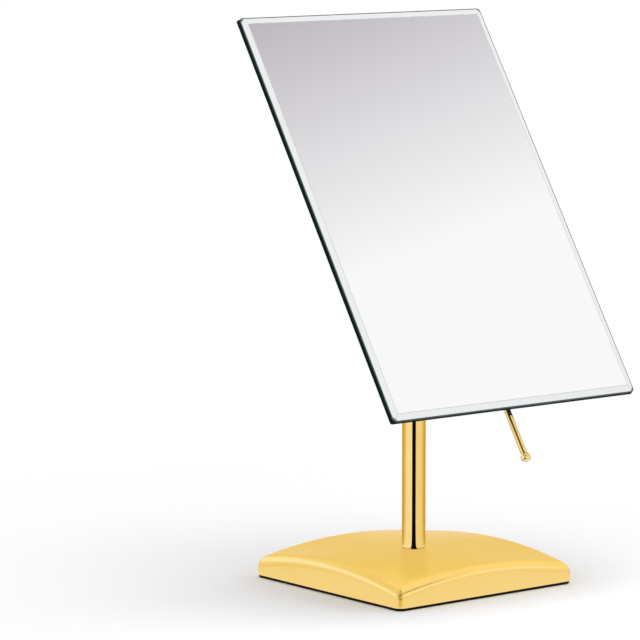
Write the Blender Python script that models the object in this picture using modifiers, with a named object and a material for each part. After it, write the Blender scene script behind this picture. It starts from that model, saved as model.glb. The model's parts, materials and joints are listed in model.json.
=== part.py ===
"""Countertop mirror on a weighted stand.

A bevelled glass plate hangs on a friction hinge behind its middle. A ball-ended lever under the glass
tilts it, and the hinge head swivels on a round post that stands on a weighted, domed square base.
Lengths are in metres and +Z is up. The origin is under the post, on the counter, and the glass faces -Y.
"""

import math

import bmesh
import bpy

# Fits shared by all pieces
SEAT_GAP = 0.0003
RUNNING_GAP = 0.0002
CUT_OVERRUN = 0.002
ROUND_STEPS = 48
SMALL_STEPS = 28
CORNER_STEPS = 4

# Mirror plate
MIRROR_WIDTH = 0.210
MIRROR_HEIGHT = 0.296
GLASS_THICKNESS = 0.003
GLASS_BEVEL_WIDTH = 0.005
GLASS_BEVEL_DEPTH = 0.0012
GLASS_CORNER_RADIUS = 0.003
PANEL_THICKNESS = 0.0015
PANEL_CORNER_RADIUS = 0.0015
TAPE_THICKNESS = 0.0004
TAPE_WIDTH = 0.018
TAPE_INSET = 0.020
SIDE_TAPE_LENGTH = 0.180
END_TAPE_LENGTH = 0.110

# Tilt hinge: its axis runs along X, behind the middle of the plate
PIVOT_HEIGHT = 0.240
REST_TILT = math.radians(32.6)
PIVOT_TO_PANEL = 0.0250
HINGE_BOLT_DIAMETER = 0.005
HINGE_BOLT_HEAD_DIAMETER = 0.0095
HINGE_BOLT_HEAD_HEIGHT = 0.0028
HINGE_BOLT_END = 0.0012
HINGE_NUT_FLATS = 0.008
HINGE_NUT_THICKNESS = 0.0045
DISC_SPRING_DIAMETER = 0.010
DISC_SPRING_THICKNESS = 0.001
FRICTION_WASHER_DIAMETER = 0.015
FRICTION_WASHER_THICKNESS = 0.001
HINGE_BUSH_WALL = 0.001
EAR_THICKNESS = 0.003
EAR_RADIUS = 0.009
EAR_ROOT_HEIGHT = 0.030
FLANGE_WIDTH = 0.044
FLANGE_HEIGHT = 0.056
FLANGE_THICKNESS = 0.003
FLANGE_CORNER_RADIUS = 0.005
BRACKET_SCREW_DIAMETER = 0.003
BRACKET_SCREW_HEAD_DIAMETER = 0.0056
BRACKET_SCREW_HEAD_HEIGHT = 0.0020
BRACKET_SCREW_INSET = 0.007

# Tilt lever: it runs down behind the plate and shows below its lower edge
LEVER_DIAMETER = 0.0045
LEVER_BEHIND_PANEL = 0.0065
LEVER_BALL_DIAMETER = 0.0068
LEVER_BALL_BELOW_EDGE = 0.0316
LEVER_IN_BALL = 0.0022
LEVER_IN_BOSS = 0.009
LEVER_BOSS_RADIUS = 0.005
LEVER_BOSS_LENGTH = 0.012
LEVER_NUT_FLATS = 0.008
LEVER_NUT_THICKNESS = 0.0028

# Swivel head on top of the post
TONGUE_THICKNESS = 0.008
TONGUE_WIDTH = 0.015
EAR_TO_COLLAR = 0.005
COLLAR_HEIGHT = 0.010
COLLAR_EDGE = 0.0008
SPINDLE_DIAMETER = 0.008
SWIVEL_WASHER_THICKNESS = 0.0008
BUSH_LENGTH = 0.018
RETAINER_SCREW_DIAMETER = 0.004
RETAINER_SCREW_LENGTH = 0.008
RETAINER_HEAD_DIAMETER = 0.007
RETAINER_HEAD_HEIGHT = 0.0026
RETAINER_WASHER_DIAMETER = 0.0115
RETAINER_WASHER_THICKNESS = 0.001

# Post
POST_DIAMETER = 0.016
POST_WALL = 0.0012
INSERT_LENGTH = 0.022

# Base: the dome's heights at the middle of a side and at a corner are those before its edges are rounded
BASE_SIDE = 0.1526
BASE_CENTRE_HEIGHT = 0.0228
BASE_MIDDLE_HEIGHT = 0.0214
BASE_CORNER_HEIGHT = 0.0123
BASE_EDGE_RADIUS = 0.0064
BASE_CORNER_RADIUS = 0.0055
BASE_DOME_STEPS = 7
BASE_EDGE_STEPS = 4
SHELL_WALL = 0.0025
PAD_THICKNESS = 0.0015
PAD_INSET = 0.0006
BALLAST_CLEARANCE = 0.0005
BALLAST_FLOOR = 0.006
POST_BOLT_DIAMETER = 0.008
POST_BOLT_HEAD_FLATS = 0.013
POST_BOLT_HEAD_HEIGHT = 0.0053
POST_BOLT_IN_INSERT = 0.014
POST_WASHER_DIAMETER = 0.016
POST_WASHER_THICKNESS = 0.0016
LOCK_WASHER_DIAMETER = 0.0142
LOCK_WASHER_THICKNESS = 0.0018

# Levels up the stand
SHELL_BOTTOM = PAD_THICKNESS + SEAT_GAP
BOLT_SEAT = BASE_CENTRE_HEIGHT - SHELL_WALL - BALLAST_CLEARANCE - BALLAST_FLOOR
POST_FOOT = BASE_CENTRE_HEIGHT + SEAT_GAP
COLLAR_TOP = PIVOT_HEIGHT - EAR_RADIUS - EAR_TO_COLLAR
COLLAR_BOTTOM = COLLAR_TOP - COLLAR_HEIGHT
POST_TOP = COLLAR_BOTTOM - SWIVEL_WASHER_THICKNESS - 2 * SEAT_GAP
POST_BORE = POST_DIAMETER - 2 * POST_WALL
SPINDLE_END = POST_TOP - BUSH_LENGTH - SEAT_GAP

# Distances in front of the tilt axis, along the plate's normal
PANEL_FRONT = PIVOT_TO_PANEL + PANEL_THICKNESS
GLASS_REAR = PANEL_FRONT + SEAT_GAP
FLANGE_FRONT = PIVOT_TO_PANEL - SEAT_GAP
FLANGE_REAR = FLANGE_FRONT - FLANGE_THICKNESS
LEVER_AXIS = PIVOT_TO_PANEL - LEVER_BEHIND_PANEL

# Distances from the middle of the hinge, along the tilt axis
EAR_INNER = TONGUE_THICKNESS / 2 + FRICTION_WASHER_THICKNESS + 2 * SEAT_GAP
EAR_OUTER = EAR_INNER + EAR_THICKNESS

# Heights up the plate, from the tilt axis
BOSS_BOTTOM = -FLANGE_HEIGHT / 2 - LEVER_BOSS_LENGTH
BALL_HEIGHT = -MIRROR_HEIGHT / 2 - LEVER_BALL_BELOW_EDGE

QUARTER_TURN = math.radians(90)
FULL_TURN = math.radians(360)
SMOOTH_ANGLE = math.radians(35)


# Scene and materials

def clear_scene():
    for obj in list(bpy.data.objects):
        bpy.data.objects.remove(obj)


def new_collection(name):
    collection = bpy.data.collections.new(name)
    bpy.context.scene.collection.children.link(collection)
    return collection


def new_material(name, colour, roughness, metallic):
    material = bpy.data.materials.new(name)
    material.use_nodes = True
    shader = material.node_tree.nodes["Principled BSDF"]
    shader.inputs["Base Color"].default_value = (*colour, 1.0)
    shader.inputs["Roughness"].default_value = roughness
    shader.inputs["Metallic"].default_value = metallic
    return material


clear_scene()
PARTS = new_collection("countertop_mirror")
CUTTERS = new_collection("cutters")
SATIN_GOLD = new_material("satin_gold", (0.86, 0.57, 0.14), 0.20, 1.0)
POLISHED_GOLD = new_material("polished_gold", (0.86, 0.57, 0.14), 0.05, 1.0)
MIRROR_GLASS = new_material("mirror_glass", (0.90, 0.92, 0.92), 0.02, 1.0)
BLACK_PLASTIC = new_material("black_plastic", (0.012, 0.016, 0.015), 0.35, 0.0)
BLACK_RUBBER = new_material("black_rubber", (0.010, 0.009, 0.008), 0.80, 0.0)
FOAM_TAPE = new_material("foam_tape", (0.75, 0.74, 0.70), 0.90, 0.0)
PALE_NYLON = new_material("pale_nylon", (0.70, 0.68, 0.62), 0.45, 0.0)
ZINC_STEEL = new_material("zinc_steel", (0.60, 0.61, 0.62), 0.35, 1.0)
CEMENT = new_material("cement", (0.42, 0.41, 0.39), 0.90, 0.0)
BRASS = new_material("brass", (0.75, 0.52, 0.20), 0.30, 1.0)


# Shapes

def place(name, data, material, parent=None, at=(0, 0, 0), turn=(0, 0, 0)):
    """A part with this data, or a cutter where there is no material."""
    obj = bpy.data.objects.new(name, data)
    obj.parent = parent
    obj.location = at
    obj.rotation_euler = turn
    if material is None:
        CUTTERS.objects.link(obj)
        obj.hide_render = True
        obj.display_type = "WIRE"
    else:
        PARTS.objects.link(obj)
        data.materials.append(material)
    return obj


def finished_mesh(name, shape):
    """The bmesh as a mesh, smooth where its faces meet at a shallow angle."""
    bmesh.ops.recalc_face_normals(shape, faces=shape.faces)
    mesh = bpy.data.meshes.new(name)
    shape.to_mesh(mesh)
    shape.free()
    mesh.shade_smooth()
    mesh.set_sharp_from_angle(angle=SMOOTH_ANGLE)
    return mesh


def upright_edges(shape):
    return [edge for edge in shape.edges if abs(edge.verts[0].co.z - edge.verts[1].co.z) > SEAT_GAP]


def block_shape(width, height, thickness):
    """A block centred on X and Y, standing on Z = 0."""
    shape = bmesh.new()
    bmesh.ops.create_cube(shape, size=1.0)
    bmesh.ops.translate(shape, verts=shape.verts, vec=(0, 0, 0.5))
    bmesh.ops.scale(shape, verts=shape.verts, vec=(width, height, thickness))
    return shape


def plate_mesh(name, width, height, thickness, corner_radius):
    """A plate with round corners, standing on Z = 0."""
    shape = block_shape(width, height, thickness)
    bmesh.ops.bevel(
        shape,
        geom=upright_edges(shape),
        offset=corner_radius,
        offset_type="OFFSET",
        segments=CORNER_STEPS,
        profile=0.5,
        affect="EDGES",
        material=-1,
    )
    return finished_mesh(name, shape)


def rod_mesh(name, diameter, length, steps=SMALL_STEPS):
    """A round rod standing on Z = 0, or a hexagon where it has six steps."""
    shape = bmesh.new()
    bmesh.ops.create_cone(
        shape,
        cap_ends=True,
        segments=steps,
        radius1=diameter / 2,
        radius2=diameter / 2,
        depth=length,
    )
    bmesh.ops.translate(shape, verts=shape.verts, vec=(0, 0, length / 2))
    return finished_mesh(name, shape)


def hexagon_mesh(name, across_flats, thickness):
    return rod_mesh(name, across_flats / math.cos(math.radians(30)), thickness, steps=6)


def ball_mesh(name, diameter):
    shape = bmesh.new()
    bmesh.ops.create_uvsphere(shape, u_segments=SMALL_STEPS, v_segments=SMALL_STEPS // 2, radius=diameter / 2)
    return finished_mesh(name, shape)


def turned(name, profile, material, steps, closed=False, **where):
    """A turned piece. The (radius, height) profile runs down its outer side; a closed one makes a ring."""
    count = len(profile)
    edges = [(i, (i + 1) % count) for i in range(count if closed else count - 1)]
    mesh = bpy.data.meshes.new(name)
    mesh.from_pydata([(radius, 0, height) for radius, height in profile], edges, [])
    obj = place(name, mesh, material, **where)
    screw = obj.modifiers.new("turn", "SCREW")
    screw.axis = "Z"
    screw.angle = FULL_TURN
    screw.steps = steps
    screw.render_steps = steps
    screw.use_merge_vertices = True
    screw.merge_threshold = 0.00001
    return obj


def ring(name, outer, inner, thickness, material, steps=SMALL_STEPS, **where):
    """A flat ring of these diameters, standing on Z = 0."""
    profile = [(inner / 2, thickness), (outer / 2, thickness), (outer / 2, 0), (inner / 2, 0)]
    return turned(name, profile, material, steps, closed=True, **where)


def arc(centre, radius, start, end, steps):
    """Points on an arc, by angles in degrees."""
    angles = [math.radians(start + (end - start) * i / steps) for i in range(steps + 1)]
    return [(centre[0] + radius * math.cos(a), centre[1] + radius * math.sin(a)) for a in angles]


def outline_mesh(name, points, thickness):
    """A flat outline made thick on both sides of Z = 0, with its caps joined to its sides."""
    curve = bpy.data.curves.new(name, "CURVE")
    curve.dimensions = "2D"
    curve.fill_mode = "BOTH"
    curve.extrude = thickness / 2
    spline = curve.splines.new("POLY")
    spline.points.add(len(points) - 1)
    for point, (x, y) in zip(spline.points, points):
        point.co = (x, y, 0, 1)
    spline.use_cyclic_u = True
    drawn = bpy.data.objects.new(name, curve)
    CUTTERS.objects.link(drawn)
    bpy.context.view_layer.update()
    graph = bpy.context.evaluated_depsgraph_get()
    mesh = bpy.data.meshes.new_from_object(drawn.evaluated_get(graph))
    bpy.data.objects.remove(drawn)
    shape = bmesh.new()
    shape.from_mesh(mesh)
    bpy.data.meshes.remove(mesh)
    bmesh.ops.remove_doubles(shape, verts=shape.verts, dist=0.00001)
    return finished_mesh(name, shape)


def combine(target, other, operation):
    boolean = target.modifiers.new(other.name, "BOOLEAN")
    boolean.operation = operation
    boolean.object = other


def drill(target, diameter, start, length, steps=SMALL_STEPS, turn=(0, 0, 0)):
    """Cuts a round hole in target, from start along the turned Z axis, in the frame of target's parent."""
    name = f"{target.name}_hole_{len(target.modifiers)}"
    cutter = place(name, rod_mesh(name, diameter, length, steps), None, target.parent, start, turn)
    combine(target, cutter, "DIFFERENCE")


ALONG_X = (0, QUARTER_TURN, 0)
DOWN_Y = (QUARTER_TURN, 0, 0)


# Base

def dome_height(x, y):
    """Height of the base's outer skin: nearly flat in the middle, falling away to the corners."""
    across = (2 * x / BASE_SIDE) ** 2
    along = (2 * y / BASE_SIDE) ** 2
    fall = BASE_CENTRE_HEIGHT - BASE_MIDDLE_HEIGHT
    corner_fall = 2 * BASE_MIDDLE_HEIGHT - BASE_CENTRE_HEIGHT - BASE_CORNER_HEIGHT
    return BASE_CENTRE_HEIGHT - fall * (across + along) - corner_fall * across * along


def rounded_corner(x, y, half, radius):
    """Moves a point of the square corner onto the round one, and gives its distance in from the outline."""
    right = abs(x) - (half - radius)
    top = abs(y) - (half - radius)
    if right <= 0 or top <= 0:
        return x, y, half - max(abs(x), abs(y))
    round_right = right * math.sqrt(1 - (top / radius) ** 2 / 2)
    round_top = top * math.sqrt(1 - (right / radius) ** 2 / 2)
    x = math.copysign(half - radius + round_right, x)
    y = math.copysign(half - radius + round_top, y)
    return x, y, max(0, radius - math.hypot(round_right, round_top))


def domed_mesh(name, inset, bottom):
    """A closed block under the base's outer skin, moved in by inset, with a flat underside."""
    half = BASE_SIDE / 2 - inset
    edge = max(BASE_EDGE_RADIUS - inset, SEAT_GAP)
    corner = max(BASE_CORNER_RADIUS - inset, SEAT_GAP)
    rolls = [edge * (1 - math.cos(QUARTER_TURN * i / BASE_EDGE_STEPS)) for i in range(BASE_EDGE_STEPS)]
    flats = [edge + (half - edge) * i / BASE_DOME_STEPS for i in range(BASE_DOME_STEPS + 1)]
    stations = [half - step for step in rolls + flats]
    stations = [-station for station in stations] + stations[-2::-1]
    cells = len(stations) - 1
    shape = bmesh.new()
    bmesh.ops.create_grid(shape, x_segments=cells, y_segments=cells, size=cells / 2)
    for vert in shape.verts:
        x = stations[round(vert.co.x + cells / 2)]
        y = stations[round(vert.co.y + cells / 2)]
        x, y, depth = rounded_corner(x, y, half, corner)
        rise = max(edge - depth, 0)
        roll = edge - math.sqrt(edge**2 - rise**2)
        vert.co = (x, y, dome_height(x, y) - inset - roll)
    rim = [edge for edge in shape.edges if edge.is_boundary]
    skirt = bmesh.ops.extrude_edge_only(shape, edges=rim)["geom"]
    for vert in skirt:
        if isinstance(vert, bmesh.types.BMVert):
            vert.co.z = bottom
    bmesh.ops.edgeloop_fill(shape, edges=[edge for edge in shape.edges if edge.is_boundary])
    return finished_mesh(name, shape)


def make_base_shell():
    """A square dome with upright sides, open below."""
    shell = place("base_shell", domed_mesh("base_shell", 0, SHELL_BOTTOM), SATIN_GOLD)
    inside = domed_mesh("base_shell_inside", SHELL_WALL, SHELL_BOTTOM - CUT_OVERRUN)
    combine(shell, place("base_shell_inside", inside, None), "DIFFERENCE")
    drill(shell, POST_BOLT_DIAMETER + 2 * SEAT_GAP, (0, 0, 0), POST_FOOT + CUT_OVERRUN)


def make_base_pad():
    side = BASE_SIDE - 2 * PAD_INSET
    mesh = plate_mesh("base_pad", side, side, PAD_THICKNESS, BASE_CORNER_RADIUS - PAD_INSET)
    place("base_pad", mesh, BLACK_RUBBER)


def make_base_ballast():
    """The filler that weights the shell, with a recess below for the head of the post's bolt."""
    inset = SHELL_WALL + BALLAST_CLEARANCE
    ballast = place("base_ballast", domed_mesh("base_ballast", inset, SHELL_BOTTOM), CEMENT)
    drill(ballast, POST_BOLT_DIAMETER + 2 * SEAT_GAP, (0, 0, 0), POST_FOOT)
    recess = POST_WASHER_DIAMETER + 4 * SEAT_GAP
    drill(ballast, recess, (0, 0, SHELL_BOTTOM - CUT_OVERRUN), BOLT_SEAT - SHELL_BOTTOM + CUT_OVERRUN)


def make_post_bolt():
    """The bolt and its two washers, from the bolt's seat in the ballast downwards."""
    hole = POST_BOLT_DIAMETER + 2 * SEAT_GAP
    washer_bottom = BOLT_SEAT - SEAT_GAP - POST_WASHER_THICKNESS
    lock_bottom = washer_bottom - SEAT_GAP - LOCK_WASHER_THICKNESS
    head_top = lock_bottom - SEAT_GAP
    ring("post_bolt_washer", POST_WASHER_DIAMETER, hole, POST_WASHER_THICKNESS, ZINC_STEEL,
         at=(0, 0, washer_bottom))
    ring("post_bolt_lock_washer", LOCK_WASHER_DIAMETER, hole, LOCK_WASHER_THICKNESS, ZINC_STEEL,
         at=(0, 0, lock_bottom))
    bolt = place(
        "post_bolt",
        hexagon_mesh("post_bolt", POST_BOLT_HEAD_FLATS, POST_BOLT_HEAD_HEIGHT),
        ZINC_STEEL,
        at=(0, 0, head_top - POST_BOLT_HEAD_HEIGHT),
    )
    sunk = POST_BOLT_HEAD_HEIGHT / 2
    length = POST_FOOT + POST_BOLT_IN_INSERT - head_top + sunk
    shank = place(
        "post_bolt_shank",
        rod_mesh("post_bolt_shank", POST_BOLT_DIAMETER, length),
        None,
        at=(0, 0, head_top - sunk),
    )
    combine(bolt, shank, "UNION")


# Post

def make_post():
    """The tube, and the threaded insert in its foot that takes the bolt."""
    height = POST_TOP - POST_FOOT
    ring("post_tube", POST_DIAMETER, POST_BORE, height, POLISHED_GOLD, ROUND_STEPS, at=(0, 0, POST_FOOT))
    outer = POST_BORE - 2 * SEAT_GAP
    thread = POST_BOLT_DIAMETER + 2 * SEAT_GAP
    ring("post_lower_insert", outer, thread, INSERT_LENGTH, ZINC_STEEL, at=(0, 0, POST_FOOT))


def make_swivel_bearing():
    """The bush in the top of the post, and what the spindle turns on and is kept in by."""
    outer = POST_BORE - 2 * SEAT_GAP
    bore = SPINDLE_DIAMETER + 2 * RUNNING_GAP
    ring("post_upper_bush", outer, bore, BUSH_LENGTH, PALE_NYLON, at=(0, 0, POST_TOP - BUSH_LENGTH))
    ring("swivel_washer", POST_DIAMETER - 2 * SEAT_GAP, bore, SWIVEL_WASHER_THICKNESS, PALE_NYLON, ROUND_STEPS,
         at=(0, 0, POST_TOP + SEAT_GAP))
    washer_bottom = SPINDLE_END - SEAT_GAP - RETAINER_WASHER_THICKNESS
    hole = RETAINER_SCREW_DIAMETER + 2 * SEAT_GAP
    ring("swivel_retaining_washer", RETAINER_WASHER_DIAMETER, hole, RETAINER_WASHER_THICKNESS, ZINC_STEEL,
         at=(0, 0, washer_bottom))
    head_top = washer_bottom - SEAT_GAP
    radius = RETAINER_SCREW_DIAMETER / 2
    head = RETAINER_HEAD_DIAMETER / 2
    profile = [
        (0, SPINDLE_END + RETAINER_SCREW_LENGTH),
        (radius, SPINDLE_END + RETAINER_SCREW_LENGTH),
        (radius, head_top),
        (head, head_top),
        (head, head_top - RETAINER_HEAD_HEIGHT),
        (0, head_top - RETAINER_HEAD_HEIGHT),
    ]
    turned("swivel_retaining_screw", profile, ZINC_STEEL, SMALL_STEPS)


# Hinge head

def make_swivel_head():
    """A collar as wide as the post, with a spindle below it and a round-ended tongue above it."""
    collar = POST_DIAMETER / 2
    spindle = SPINDLE_DIAMETER / 2
    profile = [
        (0, COLLAR_TOP),
        (collar - COLLAR_EDGE, COLLAR_TOP),
        (collar, COLLAR_TOP - COLLAR_EDGE),
        (collar, COLLAR_BOTTOM),
        (spindle, COLLAR_BOTTOM),
        (spindle, SPINDLE_END),
        (0, SPINDLE_END),
    ]
    head = turned("swivel_head", profile, POLISHED_GOLD, ROUND_STEPS)
    half = TONGUE_WIDTH / 2
    foot = COLLAR_TOP - PIVOT_HEIGHT - COLLAR_HEIGHT / 2
    outline = [(-half, foot), (half, foot)] + arc((0, 0), half, 0, 180, SMALL_STEPS // 2)
    tongue = place(
        "swivel_head_tongue",
        outline_mesh("swivel_head_tongue", outline, TONGUE_THICKNESS),
        None,
        at=(0, 0, PIVOT_HEIGHT),
        turn=(QUARTER_TURN, 0, QUARTER_TURN),
    )
    combine(head, tongue, "UNION")
    bush = HINGE_BOLT_DIAMETER + 2 * (RUNNING_GAP + HINGE_BUSH_WALL)
    reach = TONGUE_THICKNESS / 2 + CUT_OVERRUN
    drill(head, bush + 2 * SEAT_GAP, (-reach, 0, PIVOT_HEIGHT), 2 * reach, turn=ALONG_X)
    thread = RETAINER_SCREW_DIAMETER + 2 * SEAT_GAP
    start = SPINDLE_END - CUT_OVERRUN
    drill(head, thread, (0, 0, start), RETAINER_SCREW_LENGTH + SEAT_GAP + CUT_OVERRUN)
    ring("hinge_bush", bush, HINGE_BOLT_DIAMETER + 2 * RUNNING_GAP, TONGUE_THICKNESS, BRASS,
         at=(-TONGUE_THICKNESS / 2, 0, PIVOT_HEIGHT), turn=ALONG_X)
    inner = TONGUE_THICKNESS / 2 + SEAT_GAP
    for side, start in (("left", -inner - FRICTION_WASHER_THICKNESS), ("right", inner)):
        ring(f"friction_washer_{side}", FRICTION_WASHER_DIAMETER, HINGE_BOLT_DIAMETER + 2 * RUNNING_GAP,
             FRICTION_WASHER_THICKNESS, PALE_NYLON, at=(start, 0, PIVOT_HEIGHT), turn=ALONG_X)


# Plate frame: X runs across the plate, Y up it and Z out of its face

def make_tilt_axis():
    axis = bpy.data.objects.new("tilt_axis", None)
    axis.location = (0, 0, PIVOT_HEIGHT)
    axis.rotation_euler = (QUARTER_TURN - REST_TILT, 0, 0)
    PARTS.objects.link(axis)
    return axis


def bracket_screw_places():
    across = FLANGE_WIDTH / 2 - BRACKET_SCREW_INSET
    up = FLANGE_HEIGHT / 2 - BRACKET_SCREW_INSET
    return [(x, y) for y in (up, -up) for x in (-across, across)]


def make_hinge_bracket(axis):
    """One casting: a flange on the panel, two ears for the hinge bolt and a boss for the lever."""
    mesh = plate_mesh("hinge_bracket", FLANGE_WIDTH, FLANGE_HEIGHT, FLANGE_THICKNESS, FLANGE_CORNER_RADIUS)
    bracket = place("hinge_bracket", mesh, SATIN_GOLD, axis, (0, 0, FLANGE_REAR))
    inside = FLANGE_REAR + FLANGE_THICKNESS / 2
    root = EAR_ROOT_HEIGHT / 2
    outline = [(inside, root)] + arc((0, 0), EAR_RADIUS, 90, 270, SMALL_STEPS // 2) + [(inside, -root)]
    for side, middle in (("left", -EAR_INNER - EAR_THICKNESS / 2), ("right", EAR_INNER + EAR_THICKNESS / 2)):
        name = f"hinge_bracket_{side}_ear"
        ear = place(name, outline_mesh(name, outline, EAR_THICKNESS), None, axis, (middle, 0, 0),
                    (0, -QUARTER_TURN, 0))
        combine(bracket, ear, "UNION")
    overlap = FLANGE_THICKNESS
    half = LEVER_BOSS_RADIUS
    front = inside - LEVER_AXIS
    outline = [(half, front), (-half, front)] + arc((0, 0), half, 180, 360, SMALL_STEPS // 2)
    length = LEVER_BOSS_LENGTH + overlap
    boss = place(
        "hinge_bracket_boss",
        outline_mesh("hinge_bracket_boss", outline, length),
        None,
        axis,
        (0, BOSS_BOTTOM + length / 2, LEVER_AXIS),
        DOWN_Y,
    )
    combine(bracket, boss, "UNION")
    reach = EAR_OUTER + CUT_OVERRUN
    drill(bracket, HINGE_BOLT_DIAMETER + 2 * SEAT_GAP, (-reach, 0, 0), 2 * reach, turn=ALONG_X)
    for x, y in bracket_screw_places():
        drill(bracket, BRACKET_SCREW_DIAMETER + 2 * SEAT_GAP, (x, y, FLANGE_REAR - CUT_OVERRUN),
              FLANGE_THICKNESS + 2 * CUT_OVERRUN)
    depth = LEVER_IN_BOSS + SEAT_GAP
    drill(bracket, LEVER_DIAMETER + 2 * SEAT_GAP, (0, BOSS_BOTTOM + depth, LEVER_AXIS), depth + CUT_OVERRUN,
          turn=DOWN_Y)


def make_bracket_screws(axis):
    """Pan-head screws through the flange, ending inside the panel."""
    radius = BRACKET_SCREW_DIAMETER / 2
    head = BRACKET_SCREW_HEAD_DIAMETER / 2
    seat = FLANGE_REAR - SEAT_GAP
    edge = BRACKET_SCREW_HEAD_HEIGHT / 3
    tip = PANEL_FRONT - SEAT_GAP
    profile = [
        (0, tip),
        (radius, tip),
        (radius, seat),
        (head, seat),
        (head, seat - BRACKET_SCREW_HEAD_HEIGHT + edge),
        (head - edge, seat - BRACKET_SCREW_HEAD_HEIGHT),
        (0, seat - BRACKET_SCREW_HEAD_HEIGHT),
    ]
    for number, (x, y) in enumerate(bracket_screw_places(), start=1):
        turned(f"bracket_screw_{number}", profile, ZINC_STEEL, SMALL_STEPS, parent=axis, at=(x, y, 0))


def make_hinge_bolt(axis):
    """The bolt through both ears, with the disc spring and nut that set the hinge's friction."""
    radius = HINGE_BOLT_DIAMETER / 2
    head = HINGE_BOLT_HEAD_DIAMETER / 2
    edge = HINGE_BOLT_HEAD_HEIGHT / 3
    seat = EAR_OUTER + SEAT_GAP
    spring_top = -EAR_OUTER - SEAT_GAP
    nut_top = spring_top - DISC_SPRING_THICKNESS - SEAT_GAP
    end = nut_top - HINGE_NUT_THICKNESS - HINGE_BOLT_END
    profile = [
        (0, seat + HINGE_BOLT_HEAD_HEIGHT),
        (head - edge, seat + HINGE_BOLT_HEAD_HEIGHT),
        (head, seat + HINGE_BOLT_HEAD_HEIGHT - edge),
        (head, seat),
        (radius, seat),
        (radius, end),
        (0, end),
    ]
    turned("hinge_bolt", profile, POLISHED_GOLD, SMALL_STEPS, parent=axis, turn=ALONG_X)
    hole = HINGE_BOLT_DIAMETER + 2 * SEAT_GAP
    ring("hinge_disc_spring", DISC_SPRING_DIAMETER, hole, DISC_SPRING_THICKNESS, ZINC_STEEL, parent=axis,
         at=(spring_top - DISC_SPRING_THICKNESS, 0, 0), turn=ALONG_X)
    mesh = hexagon_mesh("hinge_nut", HINGE_NUT_FLATS, HINGE_NUT_THICKNESS)
    start = nut_top - HINGE_NUT_THICKNESS
    nut = place("hinge_nut", mesh, POLISHED_GOLD, axis, (start, 0, 0), ALONG_X)
    drill(nut, hole, (start - CUT_OVERRUN, 0, 0), HINGE_NUT_THICKNESS + 2 * CUT_OVERRUN, turn=ALONG_X)


# Mirror plate

def tape_places():
    """Name, middle and size of each strip of tape between the panel and the glass."""
    across = MIRROR_WIDTH / 2 - TAPE_INSET - TAPE_WIDTH / 2
    up = MIRROR_HEIGHT / 2 - TAPE_INSET - TAPE_WIDTH / 2
    return [
        ("left", (-across, 0), (TAPE_WIDTH, SIDE_TAPE_LENGTH)),
        ("right", (across, 0), (TAPE_WIDTH, SIDE_TAPE_LENGTH)),
        ("top", (0, up), (END_TAPE_LENGTH, TAPE_WIDTH)),
        ("bottom", (0, -up), (END_TAPE_LENGTH, TAPE_WIDTH)),
    ]


def make_back_panel(axis):
    """A thin panel as large as the glass, with a shallow pocket for each strip of tape."""
    mesh = plate_mesh("back_panel", MIRROR_WIDTH, MIRROR_HEIGHT, PANEL_THICKNESS, PANEL_CORNER_RADIUS)
    panel = place("back_panel", mesh, BLACK_PLASTIC, axis, (0, 0, PIVOT_TO_PANEL))
    floor = GLASS_REAR - TAPE_THICKNESS - 2 * SEAT_GAP
    for side, (x, y), (width, height) in tape_places():
        name = f"back_panel_{side}_pocket"
        shape = block_shape(width + 2 * SEAT_GAP, height + 2 * SEAT_GAP, PANEL_THICKNESS)
        combine(panel, place(name, finished_mesh(name, shape), None, axis, (x, y, floor)), "DIFFERENCE")
    for x, y in bracket_screw_places():
        drill(panel, BRACKET_SCREW_DIAMETER + 2 * SEAT_GAP, (x, y, PIVOT_TO_PANEL - CUT_OVERRUN),
              PANEL_THICKNESS + 2 * CUT_OVERRUN)


def make_mounting_tape(axis):
    bottom = GLASS_REAR - SEAT_GAP - TAPE_THICKNESS
    for side, (x, y), (width, height) in tape_places():
        name = f"mounting_tape_{side}"
        shape = block_shape(width, height, TAPE_THICKNESS)
        place(name, finished_mesh(name, shape), FOAM_TAPE, axis, (x, y, bottom))


def make_mirror_glass(axis):
    """A silvered plate with a wide bevel that meets in mitres, and rounded corners."""
    shape = block_shape(MIRROR_WIDTH, MIRROR_HEIGHT, GLASS_THICKNESS - GLASS_BEVEL_DEPTH)
    front = [face for face in shape.faces if face.normal.z > 0.5]
    bmesh.ops.inset_region(
        shape,
        faces=front,
        thickness=GLASS_BEVEL_WIDTH,
        depth=GLASS_BEVEL_DEPTH,
        use_even_offset=True,
    )
    glass = place("mirror_glass", finished_mesh("mirror_glass", shape), MIRROR_GLASS, axis, (0, 0, GLASS_REAR))
    name = "mirror_glass_corners"
    thickness = GLASS_THICKNESS + 2 * CUT_OVERRUN
    mesh = plate_mesh(name, MIRROR_WIDTH, MIRROR_HEIGHT, thickness, GLASS_CORNER_RADIUS)
    corners = place(name, mesh, None, axis, (0, 0, GLASS_REAR - CUT_OVERRUN))
    combine(glass, corners, "INTERSECT")


# Tilt lever

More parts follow.
